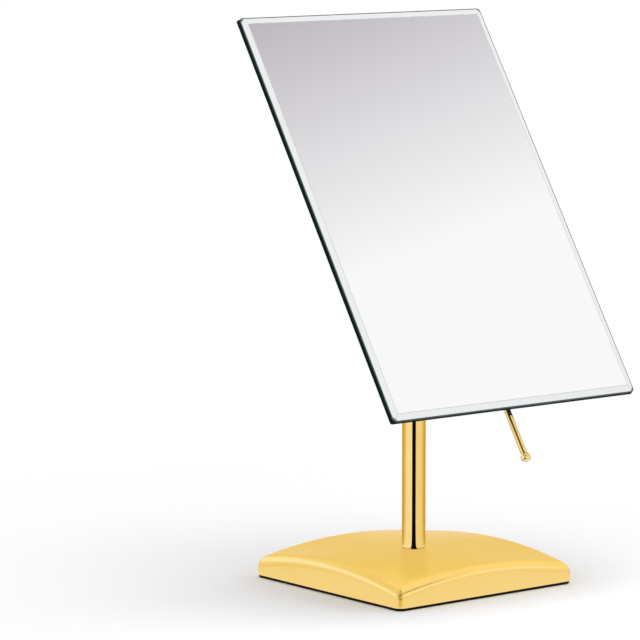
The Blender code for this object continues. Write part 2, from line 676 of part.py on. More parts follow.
def make_tilt_lever(axis):
    """A rod screwed up into the bracket's boss, locked by a nut, with a ball on its lower end."""
    top = BOSS_BOTTOM + LEVER_IN_BOSS
    end = BALL_HEIGHT + LEVER_BALL_DIAMETER / 2 - LEVER_IN_BALL
    mesh = rod_mesh("tilt_lever", LEVER_DIAMETER, top - end)
    place("tilt_lever", mesh, POLISHED_GOLD, axis, (0, top, LEVER_AXIS), DOWN_Y)
    hole = LEVER_DIAMETER + 2 * SEAT_GAP
    ball = place("lever_ball", ball_mesh("lever_ball", LEVER_BALL_DIAMETER), POLISHED_GOLD, axis,
                 (0, BALL_HEIGHT, LEVER_AXIS))
    floor = end - SEAT_GAP
    mouth = BALL_HEIGHT + LEVER_BALL_DIAMETER / 2 + CUT_OVERRUN
    drill(ball, hole, (0, mouth, LEVER_AXIS), mouth - floor, turn=DOWN_Y)
    nut_top = BOSS_BOTTOM - SEAT_GAP
    mesh = hexagon_mesh("lever_lock_nut", LEVER_NUT_FLATS, LEVER_NUT_THICKNESS)
    nut = place("lever_lock_nut", mesh, POLISHED_GOLD, axis, (0, nut_top, LEVER_AXIS), DOWN_Y)
    drill(nut, hole, (0, nut_top + CUT_OVERRUN, LEVER_AXIS), LEVER_NUT_THICKNESS + 2 * CUT_OVERRUN, turn=DOWN_Y)


def main():
    make_base_shell()
    make_base_pad()
    make_base_ballast()
    make_post_bolt()
    make_post()
    make_swivel_bearing()
    make_swivel_head()
    axis = make_tilt_axis()
    make_hinge_bracket(axis)
    make_bracket_screws(axis)
    make_hinge_bolt(axis)
    make_back_panel(axis)
    make_mounting_tape(axis)
    make_mirror_glass(axis)
    make_tilt_lever(axis)


main()
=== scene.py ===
# %% [markdown]
# # A countertop mirror on a gold stand
#
# The mechanical model of the mirror is already made and packed. This lesson gives it its looks: each piece
# that can be seen is modelled again with fine edges, every surface gets a finish made of nodes, and a small
# studio is put round it. Nothing here moves the mechanical pieces. Each new piece hides the ones that it
# stands for, and rides on one of the three moving bodies: the stand, the swivelling head or the tilting
# mirror.

# %% Load the frame
import json
import math

import bmesh
import bpy
from mathutils import Matrix, Vector


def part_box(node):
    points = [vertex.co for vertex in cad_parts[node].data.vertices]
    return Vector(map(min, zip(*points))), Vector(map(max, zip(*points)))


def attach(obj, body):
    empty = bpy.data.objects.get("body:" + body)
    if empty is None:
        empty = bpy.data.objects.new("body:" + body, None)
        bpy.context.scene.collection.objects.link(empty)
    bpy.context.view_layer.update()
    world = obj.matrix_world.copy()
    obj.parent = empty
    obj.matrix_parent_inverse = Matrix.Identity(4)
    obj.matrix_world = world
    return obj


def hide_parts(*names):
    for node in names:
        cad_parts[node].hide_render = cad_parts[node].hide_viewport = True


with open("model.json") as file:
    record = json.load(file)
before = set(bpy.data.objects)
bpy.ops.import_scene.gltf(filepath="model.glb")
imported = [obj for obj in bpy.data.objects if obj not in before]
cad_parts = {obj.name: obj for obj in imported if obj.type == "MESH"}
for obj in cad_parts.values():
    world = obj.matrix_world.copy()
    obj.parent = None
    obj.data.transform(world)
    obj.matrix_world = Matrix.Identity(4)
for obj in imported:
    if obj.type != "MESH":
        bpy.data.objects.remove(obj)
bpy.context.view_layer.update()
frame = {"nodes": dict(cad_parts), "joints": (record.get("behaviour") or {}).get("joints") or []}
scene = bpy.context.scene
scene.view_settings.view_transform = "Standard"

# %% [markdown]
# The glass leans back, so its sizes are easiest to read in its own directions: X across it, Y up it and Z
# out of its face. The tilt joint gives the pivot, and the joint's lower limit is the upright glass, so it
# also gives the lean. One matrix then carries any shape from those directions into the shared frame, and
# its inverse measures a node.

# %% The plate's own directions
ROUND = math.tau
QUARTER = math.radians(90)
tilt_joint = next(joint for joint in frame["joints"] if joint["name"] == "mirror_tilt")
pivot = Vector(tilt_joint["pos_m"])
lean = math.radians(-tilt_joint["range_deg"][0])
plate_place = Matrix.Translation(pivot) @ Matrix.Rotation(QUARTER - lean, 4, "X")


def plate_box(node):
    """Lowest and highest corner of a node, in the plate's own directions."""
    to_plate = plate_place.inverted()
    points = [to_plate @ vert.co for vert in frame["nodes"][node].data.vertices]
    low = Vector([min(point[axis] for point in points) for axis in range(3)])
    high = Vector([max(point[axis] for point in points) for axis in range(3)])
    return low, high


glass_low, glass_high = plate_box("mirror_glass")
glass_middle = plate_place @ ((glass_low + glass_high) / 2)
print("lean:", round(math.degrees(lean), 1), "glass:", glass_high - glass_low)

# %% [markdown]
# The photograph was taken with a long lens from the front left, a little above the base. The camera stands
# on a sphere round the stand, and its own turn and tip put the mirror where it is in the picture.

# %% Camera
CAMERA_TARGET = Vector((0, 0, 0.2))
CAMERA_DISTANCE = 2.5778
CAMERA_AZIMUTH = math.radians(-40.276)
CAMERA_HEIGHT = math.radians(6.940)
CAMERA_TURN = math.radians(-38.861)
CAMERA_TIP = math.radians(7.447)
CAMERA_LENS = 216.56
SENSOR_WIDTH = 36.0


def towards(azimuth, height):
    """A direction from the object: azimuth 0 is the front, and positive goes to the right."""
    level = math.cos(height)
    return Vector((math.sin(azimuth) * level, -math.cos(azimuth) * level, math.sin(height)))


camera_data = bpy.data.cameras.new("camera")
camera_data.lens = CAMERA_LENS
camera_data.sensor_width = SENSOR_WIDTH
camera = bpy.data.objects.new("camera", camera_data)
camera.location = CAMERA_TARGET + CAMERA_DISTANCE * towards(CAMERA_AZIMUTH, CAMERA_HEIGHT)
camera.rotation_euler = (QUARTER - CAMERA_TIP, 0, CAMERA_TURN)
scene.collection.objects.link(camera)
scene.camera = camera
print("camera at", camera.location)

# %% [markdown]
# A white studio is light from every side. The world gives it: what the camera and the bright metal see is
# white, and what falls on the pieces is a softer share of that, so that the lamps can still model the
# shapes. Light Path tells the two apart. Just over the horizon the gold sees a white that is a little
# brighter and cooler, as at the foot of a lit backdrop, which draws pale bands along the rounds of the
# base.
#
# A mirror that shows nothing but white looks like a white board. So the mirror alone sees the studio turn
# grey overhead and in the distance. Its finish has no roughness at all, which makes what it reflects a
# singular ray, and Light Path can tell that from the softer reflections in the gold.
#
# A few short functions make the nodes, here for the world and later for every finish.

# %% Tools for nodes
def add_node(tree, kind, inputs, **settings):
    """A new node with these settings. Each input takes a plain value, or a link from a socket."""
    node = tree.nodes.new(kind)
    for name, value in settings.items():
        setattr(node, name, value)
    for place, value in inputs.items():
        if isinstance(value, bpy.types.NodeSocket):
            tree.links.new(value, node.inputs[place])
        else:
            node.inputs[place].default_value = value
    return node


def combine(tree, operation, first, second):
    """One Math node on two sockets."""
    return add_node(tree, "ShaderNodeMath", {0: first, 1: second}, operation=operation).outputs["Value"]


def light_path(tree):
    """Factors for what the camera or the mirror sees, for what gold shows, and for the mirror alone."""
    path = tree.nodes.new("ShaderNodeLightPath")
    mirrored = path.outputs["Is Singular Ray"]
    seen = combine(tree, "MAXIMUM", path.outputs["Is Camera Ray"], mirrored)
    onward = combine(tree, "MAXIMUM", path.outputs["Is Glossy Ray"], path.outputs["Is Transmission Ray"])
    return seen, combine(tree, "SUBTRACT", onward, mirrored), mirrored


def mixed(tree, factor, first, second):
    """One surface where the factor is 0, and another where it is 1."""
    return add_node(tree, "ShaderNodeMixShader", {"Fac": factor, 1: first, 2: second}).outputs["Shader"]


def eased(tree, value, start, end):
    """0 at start and 1 at end, with soft turns at both."""
    inputs = {"Value": value, "From Min": start, "From Max": end}
    ramp = add_node(tree, "ShaderNodeMapRange", inputs, interpolation_type="SMOOTHSTEP")
    return ramp.outputs["Result"]


def blended(tree, factor, first, second):
    """One colour where the factor is 0, and another where it is 1."""
    mix = add_node(tree, "ShaderNodeMix", {"Factor": factor, "A": first, "B": second}, data_type="RGBA")
    return mix.outputs["Result"]


# %% World
WORLD_LIGHT = 0.66
STUDIO_WHITE = (1, 1, 1, 1)
HORIZON_TONE = (1.14, 1.18, 1.50, 1)
HORIZON_GLOW = 0.05
HORIZON_END = 0.17
COOL_GREY = (0.51, 0.475, 0.52, 1)
CEILING_WAY = (-0.5, 0, 0.866)
CEILING_START = 0.55
CEILING_END = 0.95
DISTANCE_GREY = (0.78, 0.77, 0.81, 1)
DISTANCE_TOP = 0.42

world = bpy.data.worlds.new("studio")
world.use_nodes = True
scene.world = world
tree = world.node_tree
light = tree.nodes["Background"]
light.inputs["Color"].default_value = STUDIO_WHITE
light.inputs["Strength"].default_value = WORLD_LIGHT
sky_place = tree.nodes.new("ShaderNodeTexCoord").outputs["Generated"]
rise = add_node(tree, "ShaderNodeSeparateXYZ", {"Vector": sky_place}).outputs["Z"]
upward = add_node(tree, "ShaderNodeVectorMath", {0: sky_place, 1: CEILING_WAY}, operation="DOT_PRODUCT")
of_camera, of_metal, of_mirror = light_path(tree)
horizon = combine(tree, "SUBTRACT", eased(tree, rise, HORIZON_END, HORIZON_GLOW), of_camera)
overhead = eased(tree, upward.outputs["Value"], CEILING_START, CEILING_END)
far_off = eased(tree, rise, DISTANCE_TOP, 0)
tones = blended(tree, horizon, STUDIO_WHITE, HORIZON_TONE)
tones = blended(tree, combine(tree, "MULTIPLY", overhead, of_mirror), tones, COOL_GREY)
tones = blended(tree, combine(tree, "MULTIPLY", far_off, of_mirror), tones, DISTANCE_GREY)
white = add_node(tree, "ShaderNodeBackground", {"Color": tones, "Strength": 1.0})
shown = combine(tree, "MAXIMUM", of_camera, of_metal)
sky = mixed(tree, shown, light.outputs["Background"], white.outputs["Background"])
tree.links.new(sky, tree.nodes["World Output"].inputs["Surface"])
print("world light:", WORLD_LIGHT)

# %% [markdown]
# The floor is a pale table top that keeps the mirror's soft shadow. From 30 cm away it fades into the white
# of the studio, so that no edge of a table or a wall shows. The fade is a blend between a matt white and a
# plain white glow, by the distance from the stand. In the mirror that glow is the grey of the distance.
#
# Polished metal shows what stands round it, and an upright post sees mostly the table. Gold looks like gold
# only if some of that is darker, so for the metal alone the table glows in sectors like the slices of a
# cake: black towards the camera, bright to both sides of that, and golden at the back. A radial gradient
# gives the angle round the stand, and a colour ramp turns it into tones.

# %% Tools for the studio
NEAR_TONE = (1.08, 1.14, 1.65)
BLACK_TONE = (0.004, 0.004, 0.004)
LEFT_TONE = (1.10, 1.18, 1.75)
RIGHT_TONE = (1.05, 1.06, 1.25)
SIDE_TONE = (0.93, 0.86, 0.58)
BACK_TONE = (0.70, 0.57, 0.19)
TONES = [
    # degrees round from the camera, tone
    (0, BLACK_TONE),
    (18.6, BLACK_TONE),
    (19.3, RIGHT_TONE),
    (72, RIGHT_TONE),
    (93, SIDE_TONE),
    (116, BACK_TONE),
    (160, BACK_TONE),
    (172, SIDE_TONE),
    (188, SIDE_TONE),
    (200, BACK_TONE),
    (244, BACK_TONE),
    (267, SIDE_TONE),
    (288, LEFT_TONE),
    (343.0, LEFT_TONE),
    (343.7, BLACK_TONE),
    (360, BLACK_TONE),
]


def object_place(tree):
    return tree.nodes.new("ShaderNodeTexCoord").outputs["Object"]


def emitted(tree, tone):
    """A glow of a plain tone, or of a colour that other nodes make."""
    return add_node(tree, "ShaderNodeEmission", {"Color": tone}).outputs["Emission"]


def new_finish(name, values):
    """A finish that starts from the Principled shader with these values."""
    finish = bpy.data.materials.new(name)
    finish.use_nodes = True
    shader = finish.node_tree.nodes["Principled BSDF"]
    for place, value in values.items():
        shader.inputs[place].default_value = value
    return finish, finish.node_tree, shader


def show(tree, surface):
    tree.links.new(surface, tree.nodes["Material Output"].inputs["Surface"])


def from_stand(tree):
    """Distance from the stand's axis, level with the table."""
    away = add_node(tree, "ShaderNodeVectorMath", {0: object_place(tree)}, operation="LENGTH")
    return away.outputs["Value"]


def toned_glow(tree, shade):
    """A glow whose tone goes round the stand, starting at the camera. Where shade is 0, it is pale."""
    start = (0, 0, -QUARTER - CAMERA_AZIMUTH)
    turn = add_node(tree, "ShaderNodeMapping", {"Vector": object_place(tree), "Rotation": start})
    place = {"Vector": turn.outputs["Vector"]}
    sweep = add_node(tree, "ShaderNodeTexGradient", place, gradient_type="RADIAL")
    ramp = add_node(tree, "ShaderNodeValToRGB", {"Fac": sweep.outputs["Fac"]})
    stops = ramp.color_ramp.elements
    while len(stops) < len(TONES):
        stops.new(0.5)
    for stop, (angle, tone) in zip(stops, TONES):
        stop.position = angle / 360
        stop.color = (*tone, 1)
    return emitted(tree, blended(tree, shade, (*NEAR_TONE, 1), ramp.outputs["Color"]))


def staged(name, shape, finish):
    """Puts a bmesh into the studio as something that stands for no piece of the object."""
    mesh = bpy.data.meshes.new(name)
    shape.to_mesh(mesh)
    shape.free()
    mesh.materials.append(finish)
    thing = bpy.data.objects.new(name, mesh)
    scene.collection.objects.link(thing)
    return thing


def stage_card(name, width, height, finish):
    """A flat card in X and Y."""
    shape = bmesh.new()
    bmesh.ops.create_grid(shape, x_segments=1, y_segments=1, size=0.5)
    bmesh.ops.scale(shape, verts=shape.verts, vec=(width, height, 1))
    return staged(name, shape, finish)


# %% Floor
FLOOR_SIZE = 6.0
FLOOR_DROP = 0.0002
FLOOR_COLOUR = (0.925, 0.925, 0.93, 1)
FLOOR_ROUGHNESS = 0.9
FADE_START = 0.30
FADE_END = 0.56
TONES_START = 0.18
TONES_FULL = 0.21
TONES_FADE = 1.1
TONES_END = 1.54


def floor_finish():
    values = {"Base Color": FLOOR_COLOUR, "Roughness": FLOOR_ROUGHNESS, "Specular IOR Level": 0.0}
    finish, tree, matt = new_finish("floor", values)
    away = from_stand(tree)
    of_camera, of_metal, of_mirror = light_path(tree)
    white = emitted(tree, blended(tree, of_mirror, STUDIO_WHITE, DISTANCE_GREY))
    fade = combine(tree, "MULTIPLY", eased(tree, away, FADE_START, FADE_END), of_camera)
    table = mixed(tree, fade, matt.outputs["BSDF"], white)
    near = eased(tree, away, TONES_START, TONES_FULL)
    far = eased(tree, away, TONES_END, TONES_FADE)
    tones = toned_glow(tree, combine(tree, "MULTIPLY", near, far))
    show(tree, mixed(tree, of_metal, table, tones))
    return finish


floor = stage_card("floor", FLOOR_SIZE, FLOOR_SIZE, floor_finish())
floor.location.z = -FLOOR_DROP
print("floor:", FLOOR_SIZE, "m, fading from", FADE_START, "to", FADE_END)

# %% [markdown]
# Large area lamps stand for the softboxes: one overhead, and two weaker ones at the front left and the
# right. They don't show in the metal, because the cards of the next step make the reflections.

# %% Lamps
LAMPS = [
    # name, azimuth, height, distance, size, watts
    ("overhead", math.radians(20), math.radians(78), 1.9, 1.6, 17),
    ("front_left", math.radians(-75), math.radians(38), 2.2, 1.2, 7),
    ("right", math.radians(70), math.radians(30), 2.4, 1.2, 9),
]


def soft_lamp(name, azimuth, height, distance, size, watts):
    lamp = bpy.data.lights.new(name, "AREA")
    lamp.shape = "DISK"
    lamp.size = size
    lamp.energy = watts
    holder = bpy.data.objects.new(name, lamp)
    away = towards(azimuth, height)
    holder.location = CAMERA_TARGET + distance * away
    holder.rotation_euler = away.to_track_quat("Z", "Y").to_euler()
    holder.visible_glossy = False
    scene.collection.objects.link(holder)


for lamp_values in LAMPS:
    soft_lamp(*lamp_values)
print("lamps:", [values[0] for values in LAMPS])

# %% [markdown]
# Polished metal and mirrors show what stands round them, so a photographer sets cards for them to show. The
# glass sees a card at its upper right that goes from white to a cool grey, which gives the gradient at the
# top of the mirror. The card stands where the line from the camera bounces to, worked out from the glass
# itself, and it turns clear towards its rim, so that no edge of it shows. Cards are kept out of the
# camera's own sight, and cast no shadow.

# %% Grey card for the glass
GREY_CARD_DISTANCE = 1.0
GREY_CARD_HALF_WIDTH = 0.33
GREY_CARD_HALF_HEIGHT = 0.43
GREY_START = -0.035
GREY_END = 0.235
GREY_RIM = 0.10


def glowing(name):
    """An empty finish that waits for its glow."""
    finish = bpy.data.materials.new(name)
    finish.use_nodes = True
    tree = finish.node_tree
    tree.nodes.remove(tree.nodes["Principled BSDF"])
    return finish, tree


def clear_where(tree, factor, glow):
    clear = tree.nodes.new("ShaderNodeBsdfTransparent").outputs["BSDF"]
    show(tree, mixed(tree, factor, glow, clear))


def gold_card(name, tone):
    """A finish for a card that shows in the gold, and not in the mirror."""
    finish, tree = glowing(name)
    clear_where(tree, light_path(tree)[0], emitted(tree, (*tone, 1)))
    return finish


def shown_in_metal_only(card):
    card.visible_camera = False
    card.visible_diffuse = False
    card.visible_shadow = False


def grey_glow():
    """White below, grey above, and clear at the rim."""
    finish, tree = glowing("grey_card")
    place = add_node(tree, "ShaderNodeSeparateXYZ", {"Vector": object_place(tree)}).outputs
    span = {"Value": place["Y"], "From Min": GREY_START, "From Max": GREY_END}
    rise = add_node(tree, "ShaderNodeMapRange", span).outputs["Result"]
    rims = []
    for axis, half in (("X", GREY_CARD_HALF_WIDTH), ("Y", GREY_CARD_HALF_HEIGHT)):
        from_middle = add_node(tree, "ShaderNodeMath", {0: place[axis]}, operation="ABSOLUTE")
        rims.append(eased(tree, from_middle.outputs["Value"], half - GREY_RIM, half))
    glow = emitted(tree, blended(tree, rise, STUDIO_WHITE, COOL_GREY))
    clear_where(tree, combine(tree, "MAXIMUM", *rims), glow)
    return finish


def put_card(card, middle, outward, across):
    """Puts a card out from a point, facing it, with its width along across."""
    away = outward.normalized()
    turn = Matrix((across, across.cross(away), -away)).transposed().to_4x4()
    card.matrix_world = Matrix.Translation(middle + outward) @ turn
    shown_in_metal_only(card)


sight = (glass_middle - camera.location).normalized()
bounce = sight.reflect(plate_place.to_3x3() @ Vector((0, 0, 1)))
plate_up = plate_place.to_3x3() @ Vector((0, 1, 0))
grey_card = stage_card("grey_card", 2 * GREY_CARD_HALF_WIDTH, 2 * GREY_CARD_HALF_HEIGHT, grey_glow())
put_card(grey_card, glass_middle, GREY_CARD_DISTANCE * bounce, bounce.cross(plate_up).normalized())
print("the glass sees towards", bounce)

# %% [markdown]
# The same tones lie as a glowing disc just over the base, seen from above only, so that the post's foot
# shows them too. A pale sleeve round the post, seen from outside only, keeps a dark streak off the base.
#
# The lever is a thin rod that shows one dark line. A dark card makes it, far off in the studio, where the
# line from the camera bounces to off the rod's front. A large card over the front corner of the base, and
# two small ones close to it, draw the corner's marks. Two long light cards behind the base draw pale lines
# along its rounds.

# %% Cards for the gold
DISC_RADIUS = 0.10
DISC_HEIGHT = 0.0231
DISC_EASE = 0.001
CARD_STEPS = 64
SLEEVE_GAP = 0.0006
SLEEVE_TONE = (0.96, 0.94, 0.90, 1)
LEVER_CARD_DISTANCE = 0.70
LEVER_CARD_WIDTH = 0.59
LEVER_CARD_HEIGHT = 0.16
LEVER_CARD_TONE = (0.100, 0.045, 0.012)


def one_sided(name, glow_of):
    """A finish that glows on its front, and is clear from behind."""
    finish, tree = glowing(name)
    behind = tree.nodes.new("ShaderNodeNewGeometry").outputs["Backfacing"]
    clear_where(tree, combine(tree, "MAXIMUM", behind, light_path(tree)[0]), glow_of(tree))
    return finish


def disc_glow(tree):
    return toned_glow(tree, eased(tree, from_stand(tree), 0, DISC_EASE))


def plain_glow(tone):
    """Makes a glow of one tone."""
    return lambda tree: emitted(tree, tone)


disc = bmesh.new()
bmesh.ops.create_circle(disc, cap_ends=True, segments=CARD_STEPS, radius=DISC_RADIUS)
tone_disc = staged("tone_disc", disc, one_sided("tone_disc", disc_glow))
tone_disc.location.z = DISC_HEIGHT
shown_in_metal_only(tone_disc)

post_low, post_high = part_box("post_tube")
post_radius = post_high.x
sleeve = bmesh.new()
sleeve_radius = post_radius + SLEEVE_GAP
sleeve_height = post_high.z - post_low.z
bmesh.ops.create_cone(
    sleeve, cap_ends=False, segments=CARD_STEPS,
    radius1=sleeve_radius, radius2=sleeve_radius, depth=sleeve_height,
)
bmesh.ops.recalc_face_normals(sleeve, faces=sleeve.faces)
post_sleeve = staged("post_sleeve", sleeve, one_sided("post_sleeve", plain_glow(SLEEVE_TONE)))
post_sleeve.location.z = post_low.z + sleeve_height / 2
shown_in_metal_only(post_sleeve)

ball_low, ball_high = plate_box("lever_ball")
visible_lever = plate_place @ Vector((0, (glass_low.y + ball_high.y) / 2, (ball_low.z + ball_high.z) / 2))
CARDS = [
    # name, azimuth and height in degrees, distance from the stand, width, height, tone
    ("corner_card", -46, 47, 1.0, 0.80, 0.84, (0.80, 0.80, 0.84)),
    ("corner_mark_card", -45, 5.65, 0.119, 0.013, 0.0036, (0.14, 0.11, 0.04)),
    ("corner_low_card", -45, 2.4, 0.119, 0.013, 0.0098, (0.84, 0.72, 0.20)),
    ("rim_card", -146, 26, 0.62, 1.1, 0.22, (1.20, 1.40, 2.6)),
    ("back_card", 178, 38, 1.2, 1.7, 0.42, (1.08, 1.12, 1.38)),
]
for name, azimuth, height, distance, width, tall, tone in CARDS:
    card = stage_card(name, width, tall, gold_card(name, tone))
    away = towards(math.radians(azimuth), math.radians(height))
    card.location = distance * away
    card.rotation_euler = away.to_track_quat("Z", "Y").to_euler()
    shown_in_metal_only(card)
lever_sight = (visible_lever - camera.location).normalized()
lever_front = (lever_sight.project(plate_up) - lever_sight).normalized()
lever_bounce = lever_sight.reflect(lever_front)
lever_across = plate_up.cross(lever_bounce).normalized()
lever_glow = gold_card("lever_card", LEVER_CARD_TONE)
lever_card = stage_card("lever_card", LEVER_CARD_WIDTH, LEVER_CARD_HEIGHT, lever_glow)
put_card(lever_card, visible_lever, LEVER_CARD_DISTANCE * lever_bounce, lever_across)
print("cards:", [values[0] for values in CARDS], "and the lever's, towards", lever_bounce)

# %% [markdown]
# The black back of the mirror hangs over the base, and the gold would show it as a wide dark patch. Three
# strips over the base's front, seen from below only, hide it, as a slip of card does in a studio. The
# middle one keeps one thin olive line, which fades out along it, for the line along the base's front edge.

# %% Cards over the base
UNDER_HEIGHT = 0.05
UNDER_LEFT = -0.075
UNDER_RIGHT = 0.17
UNDER_FRONT = -0.17
UNDER_BACK = -0.03
EDGE_LINE = -0.1025
EDGE_LINE_WIDTH = 0.0098
EDGE_LINE_START = -0.045
EDGE_LINE_END = 0.025
EDGE_TONE = (0.27, 0.19, 0.0, 1)
FRONT_TONE = (1.18, 1.30, 2.05, 1)
INNER_TONE = (1.14, 1.17, 1.36, 1)
under_middle = (UNDER_LEFT + UNDER_RIGHT) / 2


def line_glow(tree):
    """The olive line's glow, which fades into the inner strip's tone along it."""
    place = add_node(tree, "ShaderNodeSeparateXYZ", {"Vector": object_place(tree)})
    start = EDGE_LINE_START - under_middle
    end = EDGE_LINE_END - under_middle
    faded = eased(tree, place.outputs["X"], start, end)
    return emitted(tree, blended(tree, faded, EDGE_TONE, INNER_TONE))


line_near = EDGE_LINE - EDGE_LINE_WIDTH / 2
line_far = EDGE_LINE + EDGE_LINE_WIDTH / 2
strips = [
    ("under_front", UNDER_FRONT, line_near, plain_glow(FRONT_TONE)),
    ("under_line", line_near, line_far, line_glow),
    ("under_inner", line_far, UNDER_BACK, plain_glow(INNER_TONE)),
]
for name, near_edge, far_edge, glow_of in strips:
    strip = stage_card(name, UNDER_RIGHT - UNDER_LEFT, far_edge - near_edge, one_sided(name, glow_of))
    strip.location = (under_middle, (near_edge + far_edge) / 2, UNDER_HEIGHT)
    strip.rotation_euler.x = math.pi
    shown_in_metal_only(strip)
print("cards over the base:", [values[0] for values in strips])

# %% [markdown]
# Now the finishes. Each one starts from the Principled shader and gets its small unevenness from noise on
# Object coordinates, which stay with the piece when it moves. What is the same all over is set on the
# shader itself.

# %% Tools for finishes
def grain(tree, scale, detail=3.0, stretch=(1, 1, 1)):
    """Noise from 0 to 1, with scale bumps to a metre times the stretch."""
    spread = add_node(tree, "ShaderNodeMapping", {"Vector": object_place(tree), "Scale": stretch})
    inputs = {"Vector": spread.outputs["Vector"], "Scale": scale, "Detail": detail}
    return add_node(tree, "ShaderNodeTexNoise", inputs).outputs["Fac"]


def set_colour(tree, shader, factor, dark, pale):
    tree.links.new(blended(tree, factor, (*dark, 1), (*pale, 1)), shader.inputs["Base Color"])


def set_roughness(tree, shader, factor, low, high):
    ramp = add_node(tree, "ShaderNodeMapRange", {"Value": factor, "To Min": low, "To Max": high})
    tree.links.new(ramp.outputs["Result"], shader.inputs["Roughness"])


def set_bump(tree, shader, height, strength, depth):
    bump = add_node(tree, "ShaderNodeBump", {"Height": height, "Strength": strength, "Distance": depth})
    tree.links.new(bump.outputs["Normal"], shader.inputs["Normal"])


# %% [markdown]
# All the gold is a thin plating. On the post, the lever and the hinge it is polished, so the noise only
# dulls it in patches, as hands do, and on the lever it is a little paler. On the base and the bracket it
# lies under a clear lacquer, so reflections are softer, and a very shallow orange-peel bump breaks them up.

# %% Gold finishes
GOLD_DEEP = (0.845, 0.556, 0.128)
GOLD_PALE = (0.878, 0.592, 0.150)
BRASS_DEEP = (0.790, 0.572, 0.205)
BRASS_PALE = (0.835, 0.620, 0.245)
GOLD_RIM = (0.97, 0.87, 0.60)
LACQUER_RIM = (0.95, 0.83, 0.48)
PLATING_PATCHES = 45
HANDLED_PATCHES = 110
POLISHED_ROUGHNESS = (0.03, 0.08)
COAT_WEIGHT = 0.5
COAT_ROUGHNESS = 0.03
BASE_PATCHES = 30
LACQUER_PATCHES = 160
LACQUER_ROUGHNESS = (0.22, 0.27)
PEEL_SCALE = 900
PEEL_STRENGTH = 0.05
PEEL_DEPTH = 0.0002


def polished(name, deep, pale):
    values = {"Coat Weight": COAT_WEIGHT, "Coat Roughness": COAT_ROUGHNESS, "Specular Tint": (*GOLD_RIM, 1)}
    finish, tree, shader = new_finish(name, {"Metallic": 1.0, **values})
    set_colour(tree, shader, grain(tree, PLATING_PATCHES), deep, pale)
    set_roughness(tree, shader, grain(tree, HANDLED_PATCHES, detail=5), *POLISHED_ROUGHNESS)
    return finish


def lacquered_gold():
    values = {"Metallic": 1.0, "Specular Tint": (*LACQUER_RIM, 1)}
    finish, tree, shader = new_finish("lacquered_gold", values)
    set_colour(tree, shader, grain(tree, BASE_PATCHES), GOLD_DEEP, GOLD_PALE)
    set_roughness(tree, shader, grain(tree, LACQUER_PATCHES, detail=5), *LACQUER_ROUGHNESS)
    set_bump(tree, shader, grain(tree, PEEL_SCALE, detail=2), PEEL_STRENGTH, PEEL_DEPTH)
    return finish


gold = polished("polished_gold", GOLD_DEEP, GOLD_PALE)
pale_gold = polished("pale_gold", BRASS_DEEP, BRASS_PALE)
base_gold = lacquered_gold()
print("gold finishes:", gold.name, pale_gold.name, base_gold.name)

# %% [markdown]
# The mirror needs five finishes. Its face and its bevel are silver seen through clear glass, and the bevel
# is a touch darker, as in the photograph. The hair lines beside the bevel are ground, so they are pale and
# matt. The seam round the rim is dark, and the cut edge of the plate shows the near-black green that sheet
# glass has from the side.

# %% Mirror finishes
SILVER_PATCHES = 12
EDGE_PATCHES = 300
EDGE_GRIND = 700


def silver(name, dark, pale):
    finish, tree, shader = new_finish(name, {"Metallic": 1.0, "Roughness": 0.0})
    set_colour(tree, shader, grain(tree, SILVER_PATCHES), dark, pale)
    return finish


def cut_glass(name, dark, pale, smooth, rough, shine):
    finish, tree, shader = new_finish(name, {"Specular IOR Level": shine})
    set_colour(tree, shader, grain(tree, EDGE_PATCHES), dark, pale)
    set_roughness(tree, shader, grain(tree, EDGE_GRIND), smooth, rough)
    return finish


mirror_finishes = [
    silver("mirror_face", (0.930, 0.935, 0.935), (0.945, 0.948, 0.948)),
    silver("mirror_bevel", (0.825, 0.84, 0.845), (0.865, 0.88, 0.885)),
    cut_glass("hair_line", (0.40, 0.42, 0.42), (0.58, 0.60, 0.60), 0.4, 0.6, 0.3),
    cut_glass("rim_seam", (0.075, 0.088, 0.085), (0.120, 0.135, 0.132), 0.3, 0.5, 0.1),
    cut_glass("glass_edge", (0.003, 0.012, 0.010), (0.008, 0.021, 0.018), 0.15, 0.3, 0.006),
]
FACE, BEVEL, HAIR, SEAM, EDGE = range(len(mirror_finishes))
print("mirror finishes:", [finish.name for finish in mirror_finishes])

# %% [markdown]
# The plain materials follow: the black panel behind the glass, the rubber pad, and what is inside or
# behind, such as zinc-plated steel, nylon, brass, foam tape and the filler of the base. Each has its own
# grain: moulded plastic is pebbled, rubber is dull and dusty, plated steel is streaked by its drawing, and
# the filler is speckled.

# %% Plain finishes
def grained(
    name, dark, pale, smooth, rough, scale,
    bump=0.0, depth=0.0001, metallic=0.0, stretch=(1, 1, 1), shine=0.5,
):
    """A finish with one grain for its colour and roughness, and one twice as fine for its bump."""
    finish, tree, shader = new_finish(name, {"Metallic": metallic, "Specular IOR Level": shine})
    noise = grain(tree, scale, detail=4, stretch=stretch)
    set_colour(tree, shader, noise, dark, pale)
    set_roughness(tree, shader, noise, smooth, rough)
    if bump:
        set_bump(tree, shader, grain(tree, 2 * scale, detail=2, stretch=stretch), bump, depth)
    return finish


